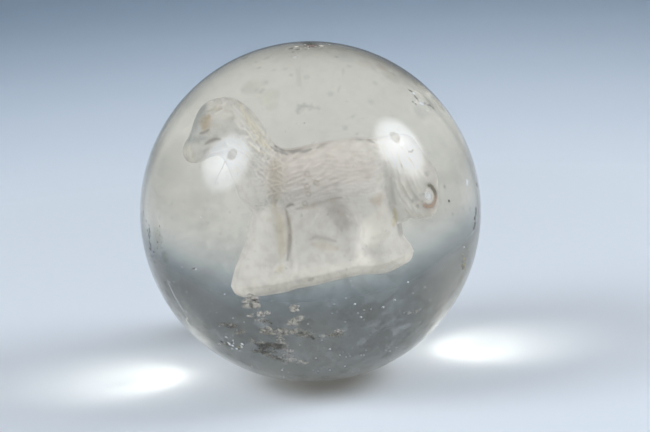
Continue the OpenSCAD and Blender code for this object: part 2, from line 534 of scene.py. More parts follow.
def skin(values: Array, origin: Sequence[float], step: float) -> tuple[Array, Array]:
    """Closed skin of a distance field, with one point in each cell that the surface crosses.

    Args:
        values: Distance at each grid point, below 0 inside.
        origin: Place of the first grid point.
        step: Spacing of the grid.

    Returns:
        The points and the four-sided faces of the skin.
    """
    n = np.array(values.shape) - 1
    total = np.zeros((3, *n), dtype=np.float32)
    count = np.zeros(n, dtype=np.float32)
    for axis in range(3):
        for start in itertools.product((0, 1), repeat=3):
            if start[axis]:
                continue
            end = [1 if k == axis else s for k, s in enumerate(start)]
            a = values[tuple(slice(s, s + m) for s, m in zip(start, n))]
            b = values[tuple(slice(s, s + m) for s, m in zip(end, n))]
            crossed = (a < 0) != (b < 0)
            with np.errstate(divide="ignore", invalid="ignore"):
                t = np.where(crossed, a / (a - b), 0)
            for k in range(3):
                total[k] += crossed * (t if k == axis else float(start[k]))
            count += crossed
    found = count > 0
    number = np.cumsum(found).reshape(found.shape) - 1
    place = np.stack(np.nonzero(found)).astype(np.float64)
    points = np.asarray(origin)[:, None] + step * (place + total[:, found] / count[found])
    faces = []
    inside = values < 0
    for axis in range(3):
        b, c = (axis + 1) % 3, (axis + 2) % 3
        body = tuple(slice(0, -1) if k == axis else slice(1, -1) for k in range(3))
        ahead = tuple(slice(1, None) if k == axis else slice(1, -1) for k in range(3))
        crossed = inside[body] != inside[ahead]
        at = np.stack(np.nonzero(crossed))
        here = at + np.array([[0 if k == axis else 1] for k in range(3)])
        into = inside[tuple(here)]
        corners = []
        for db, dc in ((1, 1), (0, 1), (0, 0), (1, 0)):
            cell = here.copy()
            cell[b] -= db
            cell[c] -= dc
            corners.append(number[tuple(cell)])
        quad = np.stack(corners, axis=1)
        quad[~into] = quad[~into][:, ::-1]
        faces.append(quad)
    return points.T, np.concatenate(faces)


@dataclass(frozen=True)
class Mark:
    """Line or spot pressed into one side of the clay, or raised on it, with its colour, which on many marks
    is painted shade or painted light.
    """

    path: Sequence[Pair]
    width: float
    depth: float = 0.0
    colour: Colour = (0.5, 0.5, 0.5)
    amount: float = 0.0
    taper: float = 0.6

    def nearness(self, x: Array, z: Array) -> Array:
        """How near points are to the mark.

        Args:
            x: Places along the plinth.
            z: Heights above the underside.

        Returns:
            1 on the mark, falling smoothly to 0 beyond its width, which narrows at both ends.
        """
        nearest = np.full(x.shape, np.inf)
        spans = max(1, len(self.path) - 1)
        for k, (a, b) in enumerate(zip(self.path, self.path[1:] or self.path)):
            d = np.subtract(b, a)
            t = np.clip(((x - a[0]) * d[0] + (z - a[1]) * d[1]) / max(float(d @ d), 1e-9), 0, 1)
            gap2 = (x - a[0] - t * d[0]) ** 2 + (z - a[1] - t * d[1]) ** 2
            width = self.width * (1 - self.taper * np.abs(2 * (k + t) / spans - 1) ** 3)
            nearest = np.minimum(nearest, gap2 / width ** 2)
        return np.exp(-nearest)


@dataclass(frozen=True)
class Coat:
    """Rows of hair strokes over one region. Sizes in millimetres, angles in degrees.

    Each stroke is a ridge between two grooves, whose widths are shares of the gap between rows.
    """

    middle: Pair
    reach: Pair
    angle: float
    gap: float
    length: float
    height: float
    spread: float = 8.0
    jitter: float = 0.2
    bend: float = 0.25
    ridge_w: float = 0.34
    groove_w: float = 0.8
    groove: float = 0.4

    def strokes(self, x: Array, z: Array, seed: int) -> Array:
        """Height of the hair.

        Args:
            x: Places along the plinth, in rising order.
            z: Heights above the underside.
            seed: Seed of the strokes' small differences.

        Returns:
            The height at each place, above 0 on a stroke and below 0 between strokes.
        """
        rng = np.random.default_rng(seed)
        total = np.zeros(x.shape)
        turn = math.radians(self.angle)
        ahead, across = (math.cos(turn), math.sin(turn)), (-math.sin(turn), math.cos(turn))
        rows = int(2 * self.reach[1] / self.gap) + 1
        runs = int(2 * self.reach[0] / self.length) + 1
        for row in range(rows):
            for run in range(runs):
                shift = 0.5 * (row % 2) + rng.uniform(-self.jitter, self.jitter)
                u = -self.reach[0] + (run + shift) * self.length
                v = -self.reach[1] + (row + rng.uniform(-self.jitter, self.jitter)) * self.gap
                edge = max(abs(u) / self.reach[0], abs(v) / self.reach[1])
                level = self.height * rng.uniform(0.5, 1.3) * min(1.0, max(0.0, (1.15 - edge) * 3))
                lean = turn + math.radians(rng.normal(0, self.spread))
                bend = rng.uniform(-self.bend, self.bend) / self.length
                cx = self.middle[0] + u * ahead[0] + v * across[0]
                cz = self.middle[1] + u * ahead[1] + v * across[1]
                long = self.length * rng.uniform(0.5, 0.75)
                reach = 1.3 * long + 0.2
                first, last = np.searchsorted(x, (cx - reach, cx + reach))
                dx, dz = x[first:last] - cx, z[first:last] - cz
                s = dx * math.cos(lean) + dz * math.sin(lean)
                w = dz * math.cos(lean) - dx * math.sin(lean) - bend * s * s
                ridge = np.exp(-(w / (self.ridge_w * self.gap)) ** 2)
                groove = self.groove * np.exp(-(w / (self.groove_w * self.gap)) ** 2)
                total[first:last] += level * (ridge - groove) * np.exp(-(s / long) ** 4)
        return total


def ring(x: float, z: float, r: float) -> list[Pair]:
    """Closed round path about a place."""
    turns = [math.radians(45 * k) for k in range(9)]
    return [(x + r * math.cos(a), z + r * math.sin(a)) for a in turns]


def outward(points: Array, faces: Array) -> Array:
    """Unit vector out of the surface at each point of a four-sided mesh."""
    corners = points[faces]
    facing = np.cross(corners[:, 2] - corners[:, 0], corners[:, 3] - corners[:, 1])
    total = np.zeros_like(points)
    for k in range(4):
        np.add.at(total, faces[:, k], facing)
    return total / np.maximum(np.linalg.norm(total, axis=1, keepdims=True), 1e-12)


# Pressed and raised places on the near side. The wide ones show on the far side too.
MARKS = (
    # Broad tones: painted shade over the flank's hair, the tones of the head and the tail, and painted light
    # on the plinth's lower band.
    Mark([(-2.0, 9.5), (0.0, 8.6), (5.0, 8.0)], 2.3, 0.0, (0.85, 0.825, 0.84), 1.0),
    Mark([(-8.0, 12.5), (-6.0, 15.0), (-4.5, 12.5)], 2.4, 0.0, (0.93, 0.94, 0.96), 1.0),
    Mark([(7.8, 8.2), (8.4, 4.5)], 1.6, 0.0, (0.97, 0.975, 0.99), 1.0),
    Mark([(-6.6, 0.4), (6.6, 0.4)], 0.85, 0.0, (1.0, 1.0, 1.0), 1.0),
    # Painted shade down the shoulder and the legs, and painted light on the hind shank.
    Mark([(-1.9, 10.1), (-2.0, 9.2), (-2.2, 8.2), (-2.5, 7.0)], 0.75, 0.03, (0.64, 0.60, 0.53), 0.6),
    Mark([(-2.7, 6.8), (-2.4, 5.4), (-2.5, 4.0), (-2.7, 2.8)], 0.55, 0.0, (0.74, 0.70, 0.62), 0.6),
    Mark([(1.9, 6.2), (2.3, 4.8), (2.5, 3.6)], 0.6, 0.0, (0.72, 0.68, 0.66), 0.6),
    Mark([(5.1, 4.4), (4.7, 3.2), (4.5, 2.3)], 0.9, -0.05, (1.0, 1.0, 1.0), 1.0),
    # Foreleg: its raised front, and the groove behind it up to the elbow, darkened with painted shade.
    Mark([(-2.30, 5.9), (-2.45, 4.7), (-2.68, 3.5), (-2.94, 2.3)], 0.34, -0.12, (0.90, 0.86, 0.74), 0.4),
    Mark([(-1.78, 6.2), (-1.74, 5.6), (-1.74, 4.7), (-1.92, 3.8), (-2.2, 2.9), (-2.42, 2.25)],
         0.16, 0.12, (0.52, 0.49, 0.44), 0.6),
    Mark([(-1.72, 6.4), (-1.39, 6.5), (-1.1, 6.5)], 0.1, 0.12, (0.22, 0.21, 0.19), 0.6),
    # Line of the belly and folds in the web below it, darkened with painted shade, and a bright crumb there.
    Mark([(-1.0, 6.05), (-0.2, 6.05), (0.8, 6.15), (1.7, 6.2), (2.7, 6.3)], 0.2, 0.08,
         (0.58, 0.54, 0.50), 0.55),
    Mark([(-0.4, 3.5), (0.1, 3.62), (0.4, 3.45), (0.9, 3.3), (1.55, 2.95)], 0.2, 0.05,
         (0.50, 0.47, 0.43), 0.5),
    Mark([(-0.3, 3.1), (0.6, 2.8), (1.5, 2.4)], 0.4, 0.03, (0.80, 0.76, 0.66), 0.45),
    Mark([(2.68, 4.67), (2.86, 4.39)], 0.1, -0.1, (1.0, 1.0, 1.0), 0.8),
    # Stain on the hind leg, painted shade in a line where the leg meets the tail, a yellowish line below it,
    # and the front toes.
    Mark([(5.0, 5.65), (5.5, 5.6), (5.5, 5.2)], 0.42, 0.0, (0.70, 0.58, 0.46), 0.4),
    Mark([(6.72, 6.9), (6.68, 6.1), (6.5, 5.3), (6.6, 4.7)], 0.2, 0.0, (0.60, 0.60, 0.60), 0.5),
    Mark([(6.38, 4.4), (6.39, 3.8), (6.17, 3.2)], 0.18, 0.0, (0.84, 0.80, 0.60), 0.7),
    Mark([(-3.5, 1.62), (-2.8, 1.9)], 0.3, -0.08, (0.93, 0.90, 0.76), 0.5),
    # Warm shade of the mane, and the locks over it.
    Mark([(-3.9, 15.3), (-3.4, 14.2), (-3.0, 13.2), (-2.5, 12.0), (-2.1, 10.9)], 0.4, 0.0,
         (0.85, 0.83, 0.76), 0.5),
    Mark([(-3.9, 15.3), (-3.5, 14.1), (-2.9, 13.1), (-2.6, 12.1)], 0.1, -0.07, (1.0, 0.98, 0.88), 0.7),
    Mark([(-3.62, 14.4), (-3.3, 13.3), (-2.9, 12.3), (-2.2, 11.2)], 0.09, -0.07, (1.0, 0.98, 0.88), 0.65),
    Mark([(-3.75, 13.3), (-3.4, 12.5), (-2.7, 11.7), (-2.0, 11.0)], 0.09, -0.07, (1.0, 0.98, 0.90), 0.65),
    Mark([(-3.9, 12.7), (-3.6, 12.0), (-3.0, 11.2), (-2.3, 10.7)], 0.09, -0.09, (0.98, 0.96, 0.90), 0.7),
    # Painted shade on the face, in the eye and the mouth and along the brow, and a stain beside the eye.
    Mark([(-9.1, 12.8), (-8.6, 13.7), (-8.0, 14.7), (-7.5, 15.6), (-7.0, 16.3)], 0.62, 0.0,
         (0.46, 0.54, 0.60), 0.55),
    Mark([(-8.6, 13.1), (-7.8, 13.3), (-7.2, 13.5)], 0.3, 0.0, (0.50, 0.57, 0.62), 0.45),
    Mark([(-7.35, 14.3), (-7.1, 14.9), (-6.8, 15.4)], 0.45, 0.0, (0.66, 0.54, 0.37), 0.65),
    Mark([(-7.68, 13.83), (-7.29, 14.0), (-6.91, 14.25)], 0.15, 0.08, (0.34, 0.30, 0.27), 0.6),
    Mark([(-7.3, 12.8), (-6.9, 13.02), (-6.44, 13.17), (-6.0, 13.1)], 0.2, 0.08, (0.34, 0.31, 0.27), 0.6),
    Mark([(-6.9, 15.75), (-6.2, 15.85), (-5.5, 15.7)], 0.16, 0.03, (0.60, 0.57, 0.48), 0.45),
    # Crown lightened with painted light, the white chin, painted shade in the ear's dent, and the cheek.
    Mark([(-6.9, 17.0), (-5.7, 17.6), (-4.5, 17.2), (-3.7, 16.3)], 0.55, 0.0, (1.0, 1.0, 1.0), 0.6),
    Mark([(-8.7, 12.6), (-8.9, 11.8), (-8.2, 11.0), (-7.2, 11.0)], 0.5, 0.0, (1.0, 1.0, 1.0), 0.9),
    Mark([(-8.6, 12.8), (-8.5, 11.9), (-8.1, 11.3)], 0.13, -0.05, (0.93, 0.94, 0.90), 0.7),
    Mark([(-4.68, 14.7)], 0.5, 0.1, (0.64, 0.65, 0.63), 0.6),
    Mark([(-5.97, 14.5)], 0.45, 0.0, (0.92, 0.92, 0.93), 0.7),
    # Grooves of the tail, darkened with painted shade, and its light lower edge.
    Mark([(7.9, 8.8), (7.9, 7.1), (8.3, 5.4), (9.0, 4.2)], 0.15, 0.06, (0.62, 0.62, 0.60), 0.5),
    Mark([(7.5, 8.0), (7.4, 6.4), (7.8, 5.1), (8.5, 4.0)], 0.15, 0.05, (0.64, 0.64, 0.62), 0.5),
    Mark([(6.9, 4.2), (7.6, 3.7), (8.6, 3.35), (9.5, 3.4)], 0.22, 0.0, (0.95, 0.94, 0.92), 0.7),
    # Nick in the plinth.
    Mark([(-1.2, 0.42), (-0.75, 0.5)], 0.15, 0.04, (0.45, 0.42, 0.38), 0.6),
    # Painted shade along the outline of the back.
    Mark([(-1.7, 10.95), (-1.1, 10.45), (-0.4, 10.2), (0.5, 10.15), (1.1, 10.2)], 0.08, 0.0,
         (0.34, 0.34, 0.34), 0.65),
    Mark([(-2.0, 11.15), (-1.5, 10.55), (-0.8, 10.15)], 0.07, 0.02, (0.40, 0.40, 0.40), 0.6),
    Mark([(1.5, 10.2), (2.0, 10.25), (2.7, 10.35), (3.4, 10.4)], 0.07, 0.0, (0.40, 0.40, 0.39), 0.6),
    Mark([(4.3, 10.3), (5.3, 10.05), (6.0, 9.75)], 0.08, 0.0, (0.40, 0.40, 0.40), 0.6),
    # Small rings in the clay of the flank.
    *(Mark(ring(x, z, 0.2), 0.07, 0.07, (0.55, 0.50, 0.44), 0.5)
      for x, z in ((0.41, 8.72), (0.22, 7.76), (0.17, 7.11), (-0.22, 6.37), (0.98, 7.93))),
)

# Hair, in this order: shoulder, flank, chest, neck, mane, its lower part, crown, tail and belly.
COATS = (
    Coat((0.1, 8.5), (1.9, 1.9), 15.0, 0.32, 1.2, 0.062, 9.0),
    Coat((3.9, 8.0), (2.6, 2.4), -8.0, 0.28, 1.0, 0.038, 9.0),
    Coat((-2.5, 8.7), (1.3, 2.2), 0.0, 0.24, 0.4, 0.075, 40.0),
    Coat((-3.3, 11.3), (1.2, 1.7), -20.0, 0.30, 0.45, 0.05, 50.0),
    Coat((-3.1, 13.0), (2.6, 0.7), -66.0, 0.22, 1.5, 0.06, 6.0),
    Coat((-4.2, 12.0), (1.3, 0.9), -50.0, 0.27, 0.9, 0.05, 10.0),
    Coat((-5.8, 16.1), (2.0, 0.8), 8.0, 0.25, 0.8, 0.06, 15.0),
    Coat((8.2, 6.2), (2.6, 1.4), -80.0, 0.33, 1.7, 0.05, 8.0),
    Coat((0.9, 5.1), (1.0, 0.7), 50.0, 0.28, 0.6, 0.03, 8.0),
)


@dataclass
class ClayAnimal:
    """Press-moulded animal on its plinth, in one piece. Sizes in millimetres.

    Its own frame has x along the plinth with the head at -x, y across it and z up from the
    underside. The near side, towards -y, is the one that is looked at.
    """

    plinth: Sequence[float] = (13.2, 4.8, 1.1)
    corner: float = 1.5
    edge: float = 0.5
    skirt: Pair = (1.5, 1.1)
    back_h: float = 10.2
    body_w: float = 4.7
    tail_w: float = 2.9
    tilt: float = 7.9
    drop: float = 5.2
    step: float = 0.09
    white: Colour = (0.95, 0.955, 0.98)
    wide_mark: float = 0.5
    hair_seeds: tuple[int, int] = (7, 70)
    hair_painted_shade: float = 2.2
    hair_shade_range: Pair = (0.6, 1.12)
    soft: float = 0.9
    crisp: float = 0.3
    fillet: float = 1.1
    clay: WhiteClay = field(default_factory=WhiteClay)

    def build(self) -> bpy.types.Object:
        """Make the animal and put it in its place in the ball."""
        points, faces = self._skin()
        points, tint = self._finish(points, faces)
        piece = new_piece("animal_figure", self.to_ball(points), faces, self.clay.material())
        store(piece, "tint", "FLOAT_COLOR", np.column_stack([tint, np.ones(len(tint))]))
        return piece

    def _finish(self, points: Array, faces: Array) -> tuple[Array, Array]:
        """Add the hair and the marks, and paint the hair's shade into the colour.

        Args:
            points: Places on the plain form.
            faces: Its faces.

        Returns:
            The moved points and the colour at each one.
        """
        near = points[:, 1] < 0
        height = np.zeros(len(points))
        tint = np.tile(self.white, (len(points), 1))
        for side, seed in zip((near, ~near), self.hair_seeds):
            chosen = np.flatnonzero(side)
            chosen = chosen[np.argsort(points[chosen, 0], kind="stable")]
            x, z = points[chosen, 0], points[chosen, 2]
            height[chosen] = sum(coat.strokes(x, z, seed + k) for k, coat in enumerate(COATS))
        hair = height.copy()
        x, z = points[:, 0], points[:, 2]
        for mark in MARKS:
            close = mark.nearness(x, z) * (near if mark.width < self.wide_mark else 1.0)
            height -= mark.depth * close
            tint += (close * mark.amount)[:, None] * (np.asarray(mark.colour) - tint)
        # Painted shade of the hair: the colour is lighter on the ridges and darker in the grooves.
        tint *= np.clip(1 + self.hair_painted_shade * hair, *self.hair_shade_range)[:, None]
        return points + outward(points, faces) * height[:, None], tint

    def to_ball(self, points: Array) -> Array:
        """Turn points from the animal's own frame to the ball's.

        Args:
            points: Places in the animal's frame.

        Returns:
            The same places in the ball's frame.
        """
        t = math.radians(self.tilt)
        x, y, z = points[:, 0], points[:, 1], points[:, 2] - self.drop
        return np.stack([x * math.cos(t) - z * math.sin(t), y,
                         x * math.sin(t) + z * math.cos(t)], axis=1)

    def _skin(self) -> tuple[Array, Array]:
        """Points and faces of the clay's surface in the animal's frame."""
        # The grid leaves room round the whole figure.
        lo = np.array([-10.5, -3.6, -0.5])
        hi = np.array([11.5, 3.6, self.back_h + 7.5])
        axes = [np.arange(a, b, self.step, dtype=np.float32) for a, b in zip(lo, hi)]
        x, y, z = np.meshgrid(*axes, indexing="ij", sparse=True)
        return skin(self.form(ClayField(x, y, z)), lo, self.step)

    def form(self, f: ClayField) -> Array:
        """Distance to the whole figure."""
        upper = melt_all([self._upper(f), self._head(f), self._hind(f)], self.soft)
        body = melt_all([upper, self._front(f), self._webs(f), self._tail(f), self._ears(f)], self.crisp)
        body = press(body, self._mouth(f), self.crisp / 2)
        base = melt(f.slab(self.plinth, self.corner, self.edge),
                    f.skirt(self.plinth, self.corner, *self.skirt), self.crisp)
        return melt(body, base, self.fillet)

    @property
    def _spine(self) -> float:
        """Height of the trunk's middle line."""
        return self.back_h - self.body_w / 2

    def _upper(self, f: ClayField) -> Array:
        """Trunk, neck and chest."""
        r, spine = self.body_w / 2, self._spine
        return melt_all([
            f.limb((-1.9, 0, spine + 0.1), (1.4, 0, spine - 0.15), r, r),
            f.limb((1.4, 0, spine - 0.15), (4.25, 0, spine), r, r),
            f.limb((-2.9, 0, spine + 0.5), (-4.45, 0, spine + 5), 2.2, 1.8),
            f.limb((-2.95, 0, spine - 0.3), (-3.05, 0, spine - 2.1), 1.7, 1.0)], self.soft)

    def _head(self, f: ClayField) -> Array:
        """Skull, muzzle, brow and nape."""
        spine = self._spine
        return melt_all([
            f.limb((-5.75, 0, spine + 6.1), (-5.75, 0, spine + 6.1), 2.1, 2.1),
            f.limb((-6.2, 0, spine + 4.75), (-7.95, 0, spine + 4.1), 1.45, 1.0),
            f.limb((-8.0, 0, spine + 4.3), (-6.5, 0, spine + 7.3), 0.8, 0.8),
            f.limb((-3.5, 0, spine + 4.8), (-4.4, 0, spine + 7), 0.85, 0.6)], self.soft)

    def _hind(self, f: ClayField) -> Array:
        """Hind legs, full at the thigh and the shank."""
        spine, top = self._spine, self.plinth[2]
        legs = melt(
            f.limb((4.3, 1.1, spine - 1.2), (4.95, 1.25, top + 1.9), 1.75, 1.15, True),
            f.limb((4.95, 1.25, top + 1.9), (4.7, 1.3, top - 0.1), 1.15, 1.0, True), self.soft)
        shank = f.limb((4.85, 1.7, top + 3.0), (4.5, 2.0, top + 1.1), 0.8, 0.9, True)
        foot = f.limb((4.5, 1.9, top + 1.1), (4.6, 1.85, top + 0.1), 0.9, 0.9, True)
        return melt(melt(legs, shank, self.crisp), foot, self.soft)

    def _ears(self, f: ClayField) -> Array:
        """The two drop ears."""
        spine = self._spine
        return f.limb((-5.1, 1.55, spine + 7.0), (-4.25, 1.85, spine + 5.7), 0.5, 0.35, True)

    def _mouth(self, f: ClayField) -> Array:
        """The dent of the mouth on both cheeks."""
        spine = self._spine
        return f.limb((-5.8, 1.6, spine + 4.5), (-7.2, 1.2, spine + 4.1), 0.3, 0.3, True)

    def _front(self, f: ClayField) -> Array:
        """Forelegs and the mound of clay that they stand against."""
        spine, top = self._spine, self.plinth[2]
        legs = np.minimum(
            f.limb((-2.5, -1.25, spine - 1.6), (-3.1, -1.3, top - 0.1), 1.0, 0.85),
            f.limb((-2.9, 1.25, spine - 1.6), (-4.9, 1.25, top - 0.1), 1.0, 0.85))
        mound = f.limb((-3.45, 0, top + 3.9), (-5.2, 0, top + 0.4), 0.55, 1.15)
        flank = f.limb((-3.3, 0.8, top + 3.6), (-4.5, 0.85, top + 0.4), 1.0, 1.25, True)
        return melt_all([legs, mound, flank], self.soft)

    def _webs(self, f: ClayField) -> Array:
        """Webs of clay left between the legs and under the tail."""
        spine, top, back = self._spine, self.plinth[2], self.back_h
        return melt_all([
            f.block((-2.05, -2.1, top - 0.6), (0.5, 2.1, spine - 1), 0.5),
            f.limb((0.2, 0.75, spine - 2.1), (1.2, 0.75, top + 0.9), 1.4, 1.4, True),
            f.limb((6.6, 0, back - 2.2), (6.5, 0, back - 6.2), 1.5, 1.0),
            f.limb((5.5, 0, top + 1.7), (6.0, 0, top), 0.6, 0.6),
            f.block((-4.2, -1.2, top - 0.6), (5.4, 1.2, spine - 1), 0.4)], self.crisp)

    def _tail(self, f: ClayField) -> Array:
        """Bushy tail."""
        r, back = self.tail_w / 2, self.back_h
        return melt_all([
            f.limb((5.9, 0, back - 1.1), (7.8, 0, back - 1.9), r * 0.6, r * 0.95),
            f.limb((7.8, 0, back - 1.9), (8.4, 0, back - 4), r * 0.95, r * 1.1),
            f.limb((8.4, 0, back - 4), (8.4, 0, back - 5.7), r * 1.1, r * 1.1)], self.soft)


# ---- Glass ball --------------------------------------------------------------------------


def on_ball(x: float, z: float, radius: float) -> Array:
    """Place on the near side of the ball that shows at x and z."""
    return np.array([x, -math.sqrt(max(0.0, radius ** 2 - x ** 2 - z ** 2)), z])


@dataclass(frozen=True)
class Flaw:
    """Bite, bruise, stain, painted shade, painted glint or painted reflection on the near side or the rim of
    the ball. Sizes in millimetres.

    The soil lies in crisp crumbs and the veil is an even layer. With an arc, the flaw is a curved
    line from one angle to the other, in degrees, anticlockwise from the right as seen from outside.
    """

    place: Pair
    radius: float
    colour: Colour = (0.2, 0.17, 0.12)
    soil: float = 0.0
    veil: float = 0.0
    depth: float = 0.0
    bruise: float = 0.0
    ripple: float = 0.0
    arc: Pair | None = None
    line: float = 0.16
    wave: float = 0.38

    def weight(self, points: Array, ball_r: float, margin: float = 0.0) -> tuple[Array, Array]:
        """How far the flaw reaches each point.

        Args:
            points: Places on the ball.
            ball_r: Its radius.
            margin: Length added on each side of the flaw.

        Returns:
            The weight from 0 to 1, and the distance from the flaw's middle.
        """
        middle = on_ball(*self.place, ball_r)
        out = middle / ball_r
        right = np.cross((0.0, 0.0, 1.0), out)
        right /= np.linalg.norm(right)
        up = np.cross(out, right)
        gap = points - middle
        r = np.linalg.norm(gap, axis=1)
        if self.arc is None:
            t = np.clip(1 - (r / (self.radius + margin)) ** 2, 0, 1)
            return t * (2 - t) if self.ripple else t * t * (3 - 2 * t), r
        angle = np.degrees(np.arctan2(gap @ up, gap @ right))
        first, last = self.arc
        past = np.mod(angle - first, 360) / (last - first)
        taper = np.clip(4 * np.minimum(past, 1 - past), 0, 1)
        return np.exp(-((r - self.radius) / (self.line + margin)) ** 2) * taper, r

    def height(self, weight: Array, r: Array) -> Array:
        """Height of the surface, below 0 in the bite, with the ripples of a shell-like break."""
        waves = self.ripple * np.cos(2 * math.pi * r / self.wave) * (weight > 0) * (0.3 + weight)
        return waves - self.depth * weight


BLACK, DARK, GREY = (0.03, 0.028, 0.02), (0.09, 0.075, 0.045), (0.13, 0.13, 0.12)
BROWN, RUST, OLIVE, GREEN = (0.2, 0.13, 0.08), (0.34, 0.23, 0.15), (0.34, 0.31, 0.18), (0.58, 0.58, 0.36)
CREAM, WHITE = (0.80, 0.74, 0.60), (0.88, 0.88, 0.87)


def alike(part: str, colour: Colour, rows: Sequence[Sequence[float]], **shared: Any) -> list[Flaw]:
    """Flaws that differ only in place, radius and one amount.

    Args:
        part: The amount that differs, soil or veil.
        colour: Their colour.
        rows: x, z, radius and amount of each.
        shared: What else they have in common.

    Returns:
        The flaws.
    """
    return [Flaw((x, z), r, colour, **{part: amount}, **shared) for x, z, r, amount in rows]


def crumbs(place: Pair, spread: Pair, count: int, size: Pair,
           colours: Sequence[Colour], seed: int) -> list[Flaw]:
    """Small pits with dirt in them, strewn round one place.

    Args:
        place: Middle of the patch.
        spread: About its half-widths along x and z.
        count: How many.
        size: Least and largest radius.
        colours: Colours to choose from.
        seed: Seed of the scatter.

    Returns:
        The pits.
    """
    rng = np.random.default_rng(seed)
    found = []
    for _ in range(count):
        x, z = np.asarray(place) + rng.normal(size=2) * 0.5 * np.asarray(spread)
        colour = colours[int(rng.integers(len(colours)))]
        found.append(Flaw((x, z), rng.uniform(*size), colour, soil=rng.uniform(0.6, 0.95), veil=0.3,
                          depth=0.008, bruise=0.4))
    return found


